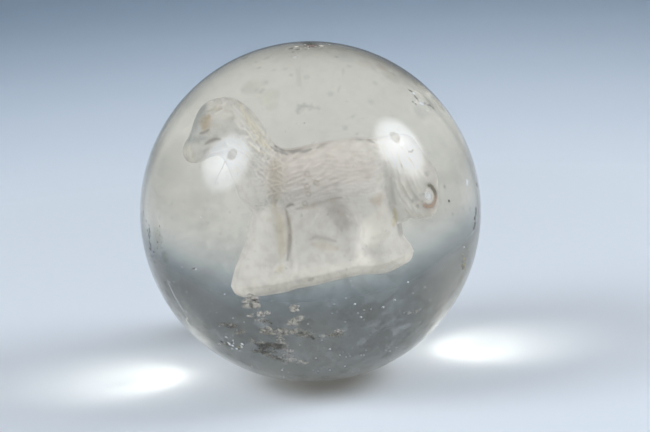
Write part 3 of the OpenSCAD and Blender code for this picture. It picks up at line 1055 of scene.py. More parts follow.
FLAWS = (
    # Rod scar on the top, with painted glints in cream and white about it.
    Flaw((1.1, 18.96), 1.25, (0.08, 0.09, 0.05), soil=0.5, veil=0.35, depth=0.03, bruise=1.0),
    Flaw((1.3, 18.86), 1.0, (0.34, 0.22, 0.18), soil=0.5, veil=0.3, depth=0.03, bruise=0.8, ripple=0.006),
    # A painted glint in cream.
    Flaw((-0.35, 18.88), 0.42, CREAM, soil=0.74),
    Flaw((0.42, 18.88), 0.2, BROWN, soil=0.8),
    # Another painted glint in cream.
    Flaw((0.58, 18.95), 0.22, CREAM, soil=1.2),
    Flaw((2.4, 18.76), 0.45, CREAM, soil=0.68, bruise=0.5),
    *alike("soil", BLACK, [(-0.9, 18.78, 0.4, 0.5), (-0.25, 18.7, 0.35, 0.45)], veil=0.3, depth=0.01),
    Flaw((-0.76, 18.57), 0.22, BLACK, soil=0.5, veil=0.4),
    Flaw((1.8, 18.76), 0.9, GREY, soil=0.5, arc=(-150, -30), line=0.1),
    # A painted glint in white.
    Flaw((-0.56, 18.21), 0.4, WHITE, veil=0.35),
    Flaw((3.83, 17.9), 0.3, BLACK, veil=0.4),
    # Tinted haze in the upper left, and the grey smudges over the upper half.
    Flaw((-5.2, 15.85), 1.7, GREEN, veil=0.2),
    Flaw((-14.3, 8.3), 3.8, (0.32, 0.29, 0.23), veil=0.2),
    *alike("veil", GREEN, [(-3.5, 15.0, 1.5, 0.2), (-3.2, 14.3, 1.0, 0.18)]),
    *alike("veil", GREY, [
        (-6.05, 15.6, 0.6, 0.22), (-5.37, 15.75, 0.5, 0.2), (-4.84, 15.55, 0.5, 0.28),
        (-4.2, 15.5, 0.42, 0.34), (-3.9, 16.2, 0.6, 0.2), (-3.39, 14.8, 0.35, 0.16),
        (-0.3, 14.0, 0.5, 0.26), (0.15, 14.06, 0.5, 0.26), (0.75, 13.94, 0.5, 0.22),
        (-0.55, 13.6, 0.4, 0.22), (1.56, 13.79, 0.4, 0.2), (4.21, 11.75, 0.4, 0.16),
        (-4.79, 17.82, 0.35, 0.22), (-4.47, 17.39, 0.4, 0.22), (-3.59, 18.15, 0.5, 0.16),
        (-2.86, 17.25, 0.4, 0.14), (-1.07, 16.8, 0.4, 0.16), (0.6, 16.56, 0.5, 0.12),
        (3.0, 14.92, 0.5, 0.14), (5.14, 17.06, 0.4, 0.16), (7.75, 15.3, 0.5, 0.12),
        (7.14, 13.75, 0.5, 0.12), (-1.68, 17.31, 0.4, 0.14), (-5.86, 13.83, 0.5, 0.14),
        (-7.45, 14.22, 0.4, 0.16), (-6.04, 17.94, 0.4, 0.2), (10.62, 15.24, 0.5, 0.14)]),
    # Haze in the upper right.
    Flaw((7.0, 16.93), 1.4, (0.70, 0.50, 0.38), veil=0.14),
    Flaw((8.71, 16.3), 1.0, (0.62, 0.40, 0.26), veil=0.2),
    Flaw((9.71, 15.48), 1.6, OLIVE, veil=0.22),
    Flaw((4.79, 17.71), 1.5, (0.40, 0.46, 0.46), veil=0.14),
    # Chipped patch in the upper right, dark dirt along its edge, painted glints in white, and stains round
    # it.
    Flaw((12.9, 12.4), 1.9, WHITE, veil=0.1, depth=0.03, bruise=0.25, ripple=0.004),
    *alike("soil", DARK, [
        (11.63, 13.83, 0.26, 0.84), (11.42, 13.97, 0.2, 0.68), (12.02, 13.32, 0.22, 0.68),
        (12.21, 13.11, 0.26, 0.84), (12.4, 12.81, 0.16, 0.68), (11.7, 12.91, 0.2, 0.74),
        (12.01, 12.66, 0.2, 0.74), (13.06, 12.45, 0.2, 0.74), (13.39, 12.18, 0.2, 0.81),
        (13.62, 12.1, 0.22, 0.81), (13.93, 11.75, 0.2, 0.81)], veil=0.3, depth=0.01),
    # Painted glints in white.
    *alike("soil", WHITE, [(11.95, 13.58, 0.26, 1.2), (12.6, 12.59, 0.3, 1.2), (12.82, 12.44, 0.24, 1.2)]),
    *alike("veil", CREAM, [(13.31, 11.79, 0.5, 0.15), (13.76, 11.57, 0.4, 0.15)], soil=0.5, bruise=0.6),
    Flaw((12.36, 11.88), 1.2, (0.42, 0.44, 0.44), veil=0.12),
    *alike("veil", OLIVE, [(12.8, 13.8, 1.5, 0.26), (14.64, 11.75, 1.6, 0.24)]),
    Flaw((15.33, 10.3), 1.2, (0.55, 0.52, 0.28), veil=0.25),
    Flaw((15.87, 9.07), 1.0, (0.68, 0.50, 0.33), veil=0.2),
    # Half-moon bruise, with dirt and smudges round it and a painted highlight inside it.
    *(Flaw((12.45, 3.95), 1.15, colour, soil, veil=0.6, depth=0.02, bruise=0.6, arc=arc, line=0.42)
      for colour, soil, arc in (((0.19, 0.165, 0.11), 0.68, (-60, 105)),
                                ((0.42, 0.29, 0.20), 0.62, (-170, 10)))),
    Flaw((11.85, 4.2), 0.3, (0.3, 0.27, 0.24), veil=0.5),
    *alike("veil", (0.4, 0.36, 0.33), [(11.2, 4.0, 0.6, 0.22), (10.75, 3.9, 0.3, 0.3)]),
    Flaw((13.0, 2.95), 0.6, RUST, veil=0.35),
    # Painted highlight inside the half-moon.
    Flaw((12.5, 3.9), 0.75, WHITE, veil=0.35, bruise=0.5),
    Flaw((14.76, 2.76), 0.26, DARK, soil=0.74, veil=0.35),
    *alike("veil", GREY, [
        (14.4, 4.2, 0.3, 0.3), (11.3, 3.16, 0.3, 0.3), (15.13, 1.39, 0.3, 0.2), (12.51, 6.08, 0.45, 0.22)]),
    Flaw((7.2, 4.3), 1.0, RUST, veil=0.14),
    Flaw((10.8, 9.0), 0.5, GREY, veil=0.35, arc=(200, 345), line=0.14),
    # Painted shade along the rim.
    Flaw((0.0, 0.0), 23.2, (0.3, 0.28, 0.22), veil=0.3, arc=(-30, 62), line=0.9),
    Flaw((0.0, 0.0), 23.4, (0.3, 0.29, 0.25), veil=0.22, arc=(118, 215), line=0.8),
    # Pits down the right edge, with a painted glint in white at the top.
    # Painted glint in white.
    *alike("soil", WHITE, [(17.08, 3.91, 0.28, 1.25), (17.05, 3.62, 0.26, 1.2)]),
    *(Flaw((x, z), r, DARK, soil, veil=0.35, depth=0.02, bruise=bruise) for x, z, r, soil, bruise in (
        (18.41, 2.66, 0.38, 0.78, 0.68), (18.01, 0.46, 0.38, 0.78, 0.68), (17.98, 0.04, 0.38, 0.78, 0.68),
        (17.81, -0.4, 0.4, 0.8, 0.5), (17.78, -1.07, 0.38, 0.78, 0.68), (17.63, -1.43, 0.38, 0.78, 0.68),
        (17.46, -2.75, 0.2, 0.54, 0.5))),
    *(Flaw((x, z), 0.2, GREY, veil=0.3) for x, z in (
        (15.75, 1.59), (16.1, 1.46), (16.47, 1.33), (16.84, 1.18), (17.22, 1.01))),
    # Stains in the lower right, and painted reflections: bright lines along the lower rim.
    *alike("veil", OLIVE, [(16.0, -4.58, 1.2, 0.25), (15.89, -6.93, 1.4, 0.28)]),
    # Painted reflections along the lower rim.
    Flaw((0.0, 0.0), 18.84, WHITE, veil=0.3, arc=(190, 214), line=0.16),
    Flaw((0.0, 0.0), 19.06, WHITE, veil=0.22, arc=(-37, -4), line=0.14),
    Flaw((0.0, 0.0), 17.87, WHITE, veil=0.14, arc=(-34, -8), line=0.12),
    # Broad shades in the lower half.
    Flaw((14.2, -4.6), 5.0, (0.46, 0.44, 0.41), veil=0.26),
    Flaw((-11.8, -5.2), 4.5, (0.30, 0.28, 0.25), veil=0.24),
    Flaw((-4.6, -14.6), 3.2, (0.36, 0.33, 0.25), veil=0.16),
    Flaw((-3.2, -12.2), 2.2, (0.66, 0.65, 0.63), veil=0.14),
    # Dirt down the left edge, then crumbs there, in the lower left and right, and round the scar.
    *alike("veil", OLIVE, [(-16.5, 0.2, 1.5, 0.22), (-15.7, -1.6, 0.9, 0.3)]),
    Flaw((-15.75, -1.6), 0.5, BLACK, soil=0.45, veil=0.25, arc=(60, 350), line=0.16),
    *crumbs((-17.5, -0.5), (0.35, 2.6), 40, (0.1, 0.22), (BLACK, DARK, GREY), 11),
    *crumbs((-18.1, 2.1), (0.3, 0.6), 6, (0.1, 0.2), (BLACK, GREY), 12),
    *crumbs((-16.3, 0.3), (0.8, 1.4), 12, (0.1, 0.2), (OLIVE, GREY), 13),
    *crumbs((-9.1, -11.4), (1.5, 0.8), 34, (0.1, 0.3), (DARK, OLIVE, CREAM, WHITE), 14),
    *crumbs((-14.2, -8.8), (0.6, 1.2), 14, (0.08, 0.18), (CREAM, WHITE, DARK), 15),
    *crumbs((16.2, -5.6), (0.35, 1.6), 26, (0.1, 0.22), (DARK, BLACK, (0.5, 0.42, 0.16)), 16),
    # Round the scar, the cream and white crumbs are painted glints, and the dark ones dirt.
    *crumbs((1.0, 18.82), (2.2, 0.1), 30, (0.08, 0.18), (CREAM, CREAM, BLACK, BROWN, WHITE), 17),
    # Painted shade round the back of the top rim.
    Flaw((0.0, 0.0), 27.6, (0.13, 0.14, 0.14), veil=0.6, arc=(20, 140), line=0.7),
)


@dataclass
class GlassBall:
    """Outer surface of the ball, finer where it is damaged. Sizes in millimetres."""

    diameter: float = 38.0
    levels: int = 7
    rounds: int = 2
    margin: float = 0.2
    fine_line: float = 0.3
    least_weight: float = 0.02
    least_dirt: float = 0.03
    flaws: Sequence[Flaw] = FLAWS
    glass: ClearGlass = field(default_factory=ClearGlass)

    def build(self) -> bpy.types.Object:
        """Make the ball."""
        points, faces = self._mesh()
        points, soil, bruise, veil = self._wear(points)
        piece = new_piece("glass_sphere", points, faces, self.glass.material())
        store(piece, "soil", "FLOAT_COLOR", soil)
        store(piece, "bruise", "FLOAT", bruise)
        store(piece, "veil", "FLOAT", veil)
        return piece

    def _mesh(self) -> tuple[Array, list[list[int]]]:
        """Points and faces of a sphere that is finer round the flaws with fine edges."""
        radius = self.diameter / 2
        form = bmesh.new()
        bmesh.ops.create_icosphere(form, subdivisions=self.levels, radius=radius)
        for _ in range(self.rounds):
            form.edges.ensure_lookup_table()
            halfway = np.array([(e.verts[0].co + e.verts[1].co)[:] for e in form.edges]) / 2
            close = np.zeros(len(halfway), dtype=bool)
            for flaw in self.flaws:
                if flaw.soil or flaw.depth or (flaw.arc and flaw.line < self.fine_line):
                    close |= flaw.weight(halfway, radius, self.margin)[0] > self.least_weight
            chosen = [form.edges[k] for k in np.flatnonzero(close)]
            bmesh.ops.subdivide_edges(form, edges=chosen, cuts=1, use_grid_fill=True)
            bmesh.ops.triangulate(form, faces=[f for f in form.faces if len(f.verts) > 3])
        form.verts.index_update()
        points = np.array([v.co[:] for v in form.verts])
        faces = [[v.index for v in f.verts] for f in form.faces]
        form.free()
        return points * (radius / np.linalg.norm(points, axis=1, keepdims=True)), faces

    def _wear(self, points: Array) -> tuple[Array, Array, Array, Array]:
        """Cut in the flaws.

        Args:
            points: Places on the whole ball.

        Returns:
            The moved points, the colour and amount of the dirt and the painted glints, the roughness of the
            breaks, and the haze with painted shade, highlights and reflections.
        """
        radius = self.diameter / 2
        height, bruise, veil = (np.zeros(len(points)) for _ in range(3))
        soil = np.tile((*GREY, 0.0), (len(points), 1))
        for flaw in self.flaws:
            weight, r = flaw.weight(points, radius)
            height += flaw.height(weight, r)
            bruise = np.maximum(bruise, flaw.bruise * weight)
            amount = weight * (flaw.soil + flaw.veil)
            share = np.clip(amount / (soil[:, 3] + veil + self.least_dirt), 0, 1)[:, None]
            soil[:, :3] += share * (np.asarray(flaw.colour) - soil[:, :3])
            soil[:, 3] = np.maximum(soil[:, 3], weight * flaw.soil)
            veil = np.maximum(veil, weight * flaw.veil)
        return points * (1 + np.minimum(height, 0) / radius)[:, None], soil, bruise, veil


@dataclass
class Grains:
    """Small irregular bodies in the glass or on it, scattered with Geometry Nodes.

    Each place is x, y, z, radius, stretch and tone, in millimetres but for the last two. A hollow
    grain is a smooth bubble whose faces look inwards. The turns are angles in radians.
    """

    name: str
    places: Sequence[Sequence[float]]
    finish: Finish
    seed: int
    hollow: bool = False
    lumpy: float = 0.42
    lump_scale: float = 1.7
    flatness: float = 0.8
    least_turn: Sequence[float] = (0.0, -0.4, 0.0)
    most_turn: Sequence[float] = (0.6, 0.4, 0.6)

    def build(self) -> bpy.types.Object:
        """Make all the grains as one piece."""
        places = np.asarray(self.places, dtype=float)
        material = self.finish.material()
        carrier = new_piece(self.name + "_points", places[:, :3], [], material)
        stretch = np.outer(places[:, 4], (1, 0, 0)) + (0, 1, self.flatness)
        store(carrier, "size", "FLOAT_VECTOR", places[:, 3:4] * stretch * MM)
        store(carrier, "tone", "FLOAT", places[:, 5])
        store(carrier, "soil", "FLOAT_COLOR", np.zeros((len(places), 4)))
        modifier = carrier.modifiers.new("grains", "NODES")
        modifier.node_group = self._nodes(material)
        values = {"Seed": self.seed, "Lumpy": 0.0 if self.hollow else self.lumpy}
        for item in modifier.node_group.interface.items_tree:
            if item.in_out == "INPUT" and item.name in values:
                modifier[item.identifier] = values[item.name]
        bpy.context.view_layer.update()
        made = carrier.evaluated_get(bpy.context.evaluated_depsgraph_get())
        piece = bpy.data.objects.new(self.name, bpy.data.meshes.new_from_object(made))
        bpy.context.scene.collection.objects.link(piece)
        carrier.modifiers.remove(modifier)
        bpy.data.objects.remove(carrier)
        return piece

    def _nodes(self, material: bpy.types.Material) -> bpy.types.NodeTree:
        """Node group that puts a turned, stretched lump on each point."""
        group = bpy.data.node_groups.new(self.name, "GeometryNodeTree")
        for name, way, kind in (("Geometry", "INPUT", "Geometry"), ("Seed", "INPUT", "Int"),
                                ("Lumpy", "INPUT", "Float"), ("Geometry", "OUTPUT", "Geometry")):
            group.interface.new_socket(name, in_out=way, socket_type="NodeSocket" + kind)
        g = Graph(group)
        given = g.add("NodeGroupInput").outputs
        noise = g.add("ShaderNodeTexNoise", {}, {"Scale": self.lump_scale, "Detail": 2.0})
        push = (g.wire(noise, "Fac") - 0.5) * Wire(g, given["Lumpy"]) * 2.0
        offset = g.add("ShaderNodeVectorMath", {"operation": "SCALE"},
                       {0: g.add("GeometryNodeInputNormal"), "Scale": push})
        body = g.add("GeometryNodeSetPosition", {}, {
            "Geometry": g.add("GeometryNodeMeshIcoSphere", {}, {"Radius": 1.0, "Subdivisions": 2}),
            "Offset": offset})
        if self.hollow:
            body = g.add("GeometryNodeFlipFaces", {}, {0: body})
        placed = g.add("GeometryNodeInstanceOnPoints", {}, {
            "Points": given["Geometry"],
            "Instance": g.add("GeometryNodeSetShadeSmooth", {}, {0: body}),
            "Rotation": g.add("FunctionNodeRandomValue", {"data_type": "FLOAT_VECTOR"}, {
                "Min": self.least_turn, "Max": self.most_turn, "Seed": given["Seed"]}),
            "Scale": g.add("GeometryNodeInputNamedAttribute", {"data_type": "FLOAT_VECTOR"},
                           {"Name": "size"})})
        real = g.add("GeometryNodeRealizeInstances", {}, {0: placed})
        dressed = g.add("GeometryNodeSetMaterial", {}, {0: real, "Material": material})
        g.add("NodeGroupOutput", {}, {0: dressed})
        return group


def scattered(count: int, seed: int, ball_r: float, inside: float, low: float, high: float,
              tone: float = 1.0) -> list[list[float]]:
    """Small specks, denser towards the bottom of the ball and mostly of the least size.

    Args:
        count: How many.
        seed: Seed of the scatter.
        ball_r: Radius of the ball.
        inside: Least share of the ball's radius at which they lie. 1 puts them on the surface.
        low: Least radius of a speck.
        high: Largest radius of a speck.
        tone: Tone of all the specks.

    Returns:
        Rows for Grains.
    """
    rng = np.random.default_rng(seed)
    outside = 1.0 if inside == 1.0 else 0.97
    rows = []
    while len(rows) < count:
        way = rng.normal(size=3)
        way /= np.linalg.norm(way)
        if rng.random() < 0.6 - 0.4 * way[2]:
            r = ball_r * rng.uniform(inside, outside)
            rows.append([*(way * r), low + (high - low) * rng.random() ** 3, rng.uniform(1.0, 1.6), tone])
    return rows


def lumps(layers: Sequence[tuple[float, Sequence[Sequence[float]]]], seed: int) -> list[list[float]]:
    """Break each lump of ash or batch into irregular grains.

    Args:
        layers: A place along y, and the x, z, radius, stretch and tone of each lump that lies there.
        seed: Seed of the scatter.

    Returns:
        Rows for Grains.
    """
    rng = np.random.default_rng(seed)
    grains = []
    for y, x, z, size, stretch, tone in ((y, *row) for y, rows in layers for row in rows):
        radius = 1.3 * size
        for _ in range(int(4 + 7 * size)):
            dx, dy, dz = rng.normal(size=3) * radius * (0.6 * stretch, 0.4, 0.45)
            grains.append([x + dx, y + dy, z + dz, radius * rng.uniform(0.5, 1.1), rng.uniform(0.9, 2.0),
                           tone + rng.uniform(-0.2, 0.3)])
    return grains


# Lumps of ash and batch under the plinth, layer by layer: y, then x, z, radius, stretch and tone.
STONES = (
    (-10.0, [
        (-5.75, -5.75, 0.42, 1.3, 1.0), (-5.5, -6.1, 0.3, 1.2, 1.0), (-5.84, -7.22, 0.16, 2.0, 1.1),
        (-4.95, -7.15, 0.26, 1.6, 1.1), (-1.9, -6.45, 0.24, 0.8, 1.0), (-1.9, -6.7, 0.2, 0.8, 1.0),
        (-2.1, -7.9, 0.34, 1.3, 0.8)]),
    (-10.5, [
        (-2.9, -12.2, 0.42, 1.0, 1.7), (-2.8, -12.7, 0.3, 1.0, 1.6), (-2.3, -13.1, 0.3, 1.8, 1.4),
        (-3.3, -10.7, 0.3, 1.2, 1.2), (-3.0, -11.4, 0.32, 0.9, 1.3), (-4.8, -8.92, 0.3, 1.4, 0.7),
        (-3.65, -9.1, 0.4, 1.9, 0.75), (-3.0, -9.15, 0.24, 1.6, 0.7), (-3.75, -9.85, 0.2, 1.5, 0.7),
        (-3.4, -10.35, 0.22, 1.4, 0.7), (-3.15, -10.95, 0.24, 1.0, 0.7), (-5.75, -10.4, 0.34, 0.9, 0.5),
        (-5.6, -11.1, 0.26, 0.9, 0.5), (-6.35, -10.1, 0.2, 1.0, 0.6), (-4.35, -12.35, 0.24, 1.1, 0.5),
        (-3.3, -11.8, 0.2, 1.2, 0.6)]),
    (-10.0, [(-1.5, -9.3, 0.4, 2.2, 0.5)]),
    (-11.0, [
        (-6.1, -10.55, 0.2, 0.8, 0.1), (-6.35, -11.65, 0.2, 1.2, 0.1), (-4.85, -10.6, 0.28, 1.2, 0.2),
        (-4.25, -10.85, 0.36, 1.3, 0.2), (-4.85, -11.95, 0.36, 1.8, 0.25), (-5.4, -11.65, 0.24, 1.6, 0.2),
        (-4.1, -12.75, 0.2, 1.1, 0.1), (-5.45, -7.8, 0.26, 2.0, 0.3), (-4.7, -7.95, 0.2, 1.6, 0.35)]),
    (-10.5, [
        (-0.4, -9.72, 0.2, 3.0, 0.15), (1.4, -9.6, 0.3, 1.6, 0.5), (2.0, -9.2, 0.2, 1.6, 0.9),
        (-5.35, -11.3, 0.3, 0.7, 0.75)]),
    (-10.0, [(9.8, -8.5, 0.24, 1.6, 0.9), (-8.6, -8.4, 0.3, 1.6, 0.3), (-7.6, -9.2, 0.25, 1.4, 0.3)]),
)

# White specks on the near side, painted bright to stand in for glints: x, z and the radius of the glint that
# each one gives.
SPECK_IN_GLINT = 0.62
PAINTED_GLINT_SPECKS = (
    (2.24, -12.7, 0.16), (2.58, -12.31, 0.07), (2.87, -13.12, 0.12), (3.3, -13.04, 0.1),
    (3.2, -12.71, 0.09), (3.55, -11.88, 0.07), (4.2, -11.86, 0.05), (4.48, -13.14, 0.12),
    (4.8, -13.22, 0.12), (5.04, -12.5, 0.12), (5.06, -11.75, 0.06), (4.97, -11.16, 0.06),
    (4.64, -11.37, 0.05), (6.34, -12.38, 0.07), (7.22, -12.34, 0.07), (7.55, -12.77, 0.12),
    (7.21, -13.15, 0.12), (7.66, -13.5, 0.14), (7.88, -12.57, 0.09), (8.33, -13.09, 0.1),
    (9.81, -4.76, 0.17), (8.83, -8.06, 0.07), (9.26, -8.44, 0.1), (9.81, -8.34, 0.07), (10.14, -8.84, 0.06),
    (9.58, -8.93, 0.06), (10.58, -11.48, 0.1), (10.81, -11.27, 0.1), (11.03, -11.07, 0.1),
    (11.26, -11.03, 0.07), (2.97, -8.3, 0.09), (4.37, -7.39, 0.09), (4.67, -7.93, 0.2), (4.97, -8.36, 0.07),
    (5.02, -7.12, 0.1), (7.03, -7.13, 0.22), (5.76, -7.13, 0.1), (7.5, -9.41, 0.06), (3.83, -3.57, 0.09),
    (3.91, -4.14, 0.07), (-0.9, -8.19, 0.09), (1.93, -6.0, 0.07), (2.19, -6.98, 0.06),
    (-0.33, -12.86, 0.16), (-0.22, -15.03, 0.16), (-0.75, -14.8, 0.12), (-3.99, -16.29, 0.14),
    (-4.42, -16.11, 0.1), (-7.36, -14.58, 0.14), (-6.7, -14.61, 0.1), (-8.46, -9.13, 0.1),
    (-8.16, -9.36, 0.07), (-4.46, -5.32, 0.07), (-12.28, -2.23, 0.17), (-13.84, -2.29, 0.1),
    (-13.57, -5.19, 0.1), (-15.47, -4.53, 0.1), (-12.27, -8.79, 0.07), (-12.68, -8.35, 0.06),
    (-11.58, -7.53, 0.06), (-11.2, -7.07, 0.06), (-10.39, -8.89, 0.07), (-9.73, -9.87, 0.07),
    (-8.98, -10.02, 0.07), (-11.62, -5.76, 0.06), (-10.88, -6.01, 0.06), (-9.2, -2.77, 0.06),
    (-9.15, -3.56, 0.07), (-4.09, -14.79, 0.2), (1.07, -15.01, 0.16), (2.71, -14.58, 0.14),
    (3.44, -15.97, 0.12), (5.53, -10.44, 0.06), (6.38, -10.78, 0.06), (6.19, -9.91, 0.06),
    (8.34, -6.56, 0.2), (11.64, -5.87, 0.1), (10.31, -6.21, 0.1), (4.11, -6.26, 0.2), (3.21, -5.44, 0.09),
    (12.17, -7.71, 0.1), (9.23, -10.33, 0.07), (1.22, -11.68, 0.2), (0.44, -10.36, 0.1),
    (-1.9, -10.89, 0.09), (-8.75, -7.6, 0.1), (-7.61, -8.0, 0.09), (16.27, -2.88, 0.2), (0.47, -2.79, 0.07),
    (-3.39, -17.1, 0.1), (-10.17, 4.33, 0.17), (-11.67, 6.28, 0.07))


# ---- Studio ------------------------------------------------------------------------------


@dataclass
class Studio:
    """Floor, backdrop, lamps and camera. Sizes in millimetres, angles in degrees.

    Each of the painted shadows on the paper, behind the ball and at its front foot, is x, y, both half-widths
    and the share of the dark tone.
    """

    floor_z: float = -19.0
    bowl_r: float = 165.0
    bend_r: float = 45.0
    wall_h: float = 70.0
    camera_lift: float = 12.5
    camera_away: float = 220.0
    lens: float = 109.0
    camera_lean: float = 3.6
    aim: Pair = (1.61, -0.48)
    paper: Colour = (0.872, 0.908, 0.94)
    wall: Colour = (0.278, 0.353, 0.43)
    tone_rise: float = 28.0
    tone_curve: float = 0.62
    fade_rise: Pair = (8.0, 52.0)
    side_drop: float = 0.22
    side_reach: Pair = (58.0, 88.0)
    painted_shadow_tone: Colour = (0.12, 0.09, 0.04)
    # Painted shadows of the ball on the paper.
    painted_shadows: Sequence[Sequence[float]] = ((-7.0, 21.5, 12.0, 5.5, 0.65), (1.0, -3.0, 6.0, 6.0, 0.45))
    fill: float = 0.245
    front_fill: float = 0.3
    room: Colour = (0.127, 0.159, 0.198)
    room_left: Colour = (0.205, 0.233, 0.25)
    lamps: Sequence["Lamp"] = field(default_factory=lambda: (
        Lamp("lamp_left", (-0.7612, -0.2815, 0.5842), 8.9), Lamp("lamp_right", (0.827, -0.1087, 0.5516))))

    def build(self) -> None:
        """Make the whole studio."""
        self._camera()
        self._world()
        self._bowl()
        for lamp in self.lamps:
            lamp.build()

    def _camera(self) -> None:
        """Camera in front of the ball, a little above it and leaning to its right."""
        lift, lean = math.radians(self.camera_lift), math.radians(self.camera_lean)
        back = Vector((0, -math.cos(lift), math.sin(lift)))
        turn = back.to_track_quat("Z", "Y").to_matrix() @ Matrix.Rotation(-lean, 3, "Z")
        data = bpy.data.cameras.new("camera")
        data.lens = self.lens
        data.clip_start, data.clip_end = 0.005, 20.0
        camera = bpy.data.objects.new("camera", data)
        place = turn @ Vector((*self.aim, self.camera_away)) * MM
        camera.matrix_world = Matrix.Translation(place) @ turn.to_4x4()
        bpy.context.scene.collection.objects.link(camera)
        bpy.context.scene.camera = camera

    def _world(self) -> None:
        """Soft light all round, most from the front, and the slate grey room that glass shows."""
        world = bpy.data.worlds.new("studio")
        world.use_nodes = True
        bpy.context.scene.world = world
        g = Graph(world.node_tree)
        rays = g.add("ShaderNodeLightPath")
        seen = g.wire(rays, "Is Camera Ray").most(g.wire(rays, "Is Transmission Ray"))
        seen = seen.most(g.wire(rays, "Is Glossy Ray")) - g.wire(rays, "Diffuse Depth")
        x, y, _ = g.parts(g.add("ShaderNodeTexCoord").outputs["Generated"])
        level = self.fill + y.ramp(0.3, -0.9) * self.front_fill
        light = g.add("ShaderNodeBackground", {}, {"Color": self.lamps[0].colour, "Strength": level})
        shade = g.mix(x.ramp(-0.4, -0.7), self.room, self.room_left)
        room = g.add("ShaderNodeBackground", {}, {"Color": shade, "Strength": 1.0})
        g.add("ShaderNodeOutputWorld", {}, {"Surface": g.blend(seen, light, room)})

    def _bowl(self) -> None:
        """Pale floor that bends up into a low wall all round."""
        profile = [(r, self.floor_z) for r in (0.0, 12.0, 25.0, 50.0, 80.0)]
        for k in range(13):
            a = math.radians(90 * k / 12)
            profile.append((self.bowl_r - self.bend_r + self.bend_r * math.sin(a),
                            self.floor_z + self.bend_r * (1 - math.cos(a))))
        profile.append((self.bowl_r, self.floor_z + self.wall_h))
        new_piece("paper_bowl", *turned(profile, 96), new_material("paper", self._paper))

    def _paper(self, g: Graph) -> bpy.types.Node:
        """Pale blue-white paper that greys and fades out up the wall, with painted shadows round the ball,
        and is clear from outside.
        """
        x, y, z = g.parts(g.place())
        near, far = ((reach * MM) ** 2 for reach in self.side_reach)
        height = (z - self.floor_z * MM) * (1.0 + (x * x).ramp(near, far) * self.side_drop)
        grey = (height / (self.tone_rise * MM)).most(0.0).least(1.0) ** self.tone_curve
        colour = g.mix(grey, self.paper, self.wall)
        # Painted shadows: the dark tone mixed into the paper round the ball.
        for middle_x, middle_y, half_x, half_y, share in self.painted_shadows:
            u, v = (x - middle_x * MM) / (half_x * MM), (y - middle_y * MM) / (half_y * MM)
            colour = g.mix((u * u + v * v).bell() * share, colour, self.painted_shadow_tone)
        outside = g.wire(g.add("ShaderNodeNewGeometry"), "Backfacing")
        fade = outside.most(height.ramp(*(rise * MM for rise in self.fade_rise)))
        paper = g.add("ShaderNodeBsdfDiffuse", {}, {"Color": colour})
        return g.blend(fade, paper, g.add("ShaderNodeBsdfTransparent"))


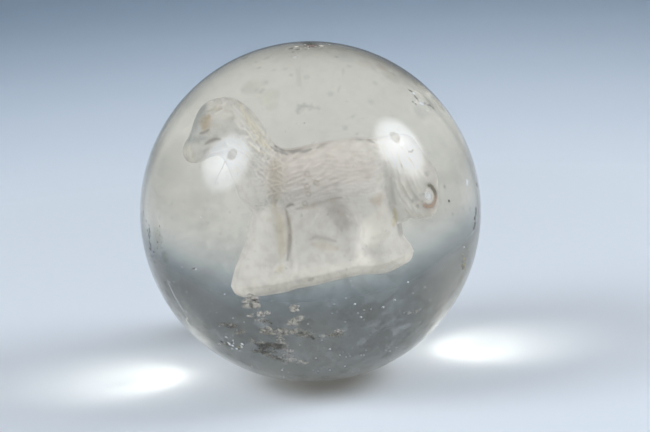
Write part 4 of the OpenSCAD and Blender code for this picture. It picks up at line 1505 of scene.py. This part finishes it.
@dataclass(frozen=True)
class Lamp:
    """Umbrella lamp, brightest round its flash head, with the head and its stand in front.

    Sizes in millimetres. The head and the stand are places across the lamp's axis.
    """

    name: str
    direction: Sequence[float]
    level: float = 9.5
    away: float = 420.0
    radius: float = 146.0
    rim: float = 0.26
    fall: float = 0.62
    head_at: Pair = (12.0, 40.0)
    head_r: float = 26.0
    head_ahead: float = 6.0
    stand_w: float = 5.0
    stand_ahead: float = 5.0
    colour: Colour = (0.91, 0.975, 1.07)
    dark: Colour = (0.47, 0.53, 0.6)
    dark_level: float = 5.2

    def build(self) -> None:
        """Make the umbrella, the flash head and the stand."""
        rings = 16
        points, faces = turned([(self.radius * (k / rings), 0.0) for k in range(rings + 1)], 64)
        cloth = self._panel("cloth", points[:, :2], faces, 0.0, self._glow)
        store(cloth, "glow", "FLOAT", [self._brightness(u, v) for u, v, _ in points])
        (u, v), w, foot = self.head_at, self.stand_w / 2, -self.radius
        disc = [(u + self.head_r * math.cos(2 * math.pi * m / 24),
                 v + self.head_r * math.sin(2 * math.pi * m / 24)) for m in range(24)]
        stand = [(-w, foot), (w, foot), (w, v), (-w, v)]
        self._panel("head", disc, [range(24)], self.head_ahead, self._dark)
        self._panel("stand", stand, [range(4)], self.stand_ahead, self._dark)

    def _brightness(self, u: float, v: float) -> float:
        """Brightness of the cloth at a place, from 1 by the flash head to 0 at the rim."""
        gap = math.hypot(u - self.head_at[0] / 2, v - self.head_at[1] / 2)
        edge = min(1.0, (1.0 - math.hypot(u, v) / self.radius) / self.rim)
        return max(0.0, (1.0 - self.fall * gap / self.radius) * edge)

    def _panel(self, part: str, flat: Sequence[Sequence[float]], faces: Sequence[Sequence[int]],
               ahead: float, finish: Callable[[Graph], bpy.types.Node]) -> bpy.types.Object:
        """Add one flat part of the lamp.

        Args:
            part: Its name.
            flat: Corners across the lamp's axis.
            faces: Corner numbers of each face, seen from the ball.
            ahead: How far it stands in front of the cloth.
            finish: Builds its material.

        Returns:
            The part.
        """
        toward = Vector(self.direction).normalized()
        turn = toward.to_track_quat("Z", "Y").to_matrix()
        points = [toward * (self.away - ahead) + turn @ Vector((u, v, 0.0)) for u, v in flat]
        name = f"{self.name}_{part}"
        piece = new_piece(name, np.array(points), [f[::-1] for f in faces], new_material(name, finish))
        piece.visible_camera = False
        return piece

    def _glow(self, g: Graph) -> bpy.types.Node:
        """Light from the side that faces the ball, and nothing from behind."""
        strength = g.attribute("glow") * self.level
        glow = g.add("ShaderNodeEmission", {}, {"Color": self.colour, "Strength": strength})
        behind = g.wire(g.add("ShaderNodeNewGeometry"), "Backfacing")
        return g.blend(behind, glow, g.add("ShaderNodeBsdfTransparent"))

    def _dark(self, g: Graph) -> bpy.types.Node:
        """Grey of the flash head and the stand."""
        return g.add("ShaderNodeEmission", {}, {"Color": self.dark, "Strength": self.dark_level})


# ---- Making it ---------------------------------------------------------------------------


def main() -> None:
    """Build the studio and the marble, and put its pieces under the body's root empty."""
    bpy.context.scene.view_settings.view_transform = "Standard"
    bpy.context.scene.cycles.blur_glossy = 0.2
    Studio().build()
    glass = GlassBall()
    r = glass.diameter / 2
    ball, animal = glass.build(), ClayAnimal().build()
    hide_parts("glass_ball")
    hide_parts("clay_animal")
    # Painted glints: white specks at the lightest tone, which stand in for sparkle.
    specks = [[*on_ball(x, z, r), glint * SPECK_IN_GLINT, 1.3, 1.3] for x, z, glint in PAINTED_GLINT_SPECKS]
    specks += scattered(160, 6, r, 1.0, 0.03, 0.07, 1.2)
    bubbles = scattered(30, 8, r, 0.72, 0.02, 0.05)
    flaws = [
        Grains("stones", lumps(STONES, 9), Stone(), 3).build(),
        Grains("dust", specks, Stone("dust", opacity=1.0, wisp=0.0), 6).build(),
        Grains("seeds", bubbles, glass.glass, 7, hollow=True).build()]
    for piece, slot in ((ball, "clear_glass"), (animal, "white_clay"), *((p, "clear_glass") for p in flaws)):
        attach(piece, "root")
        log.info("%s: %d faces", piece.name, len(piece.data.polygons))


if __name__ == "__main__":
    main()
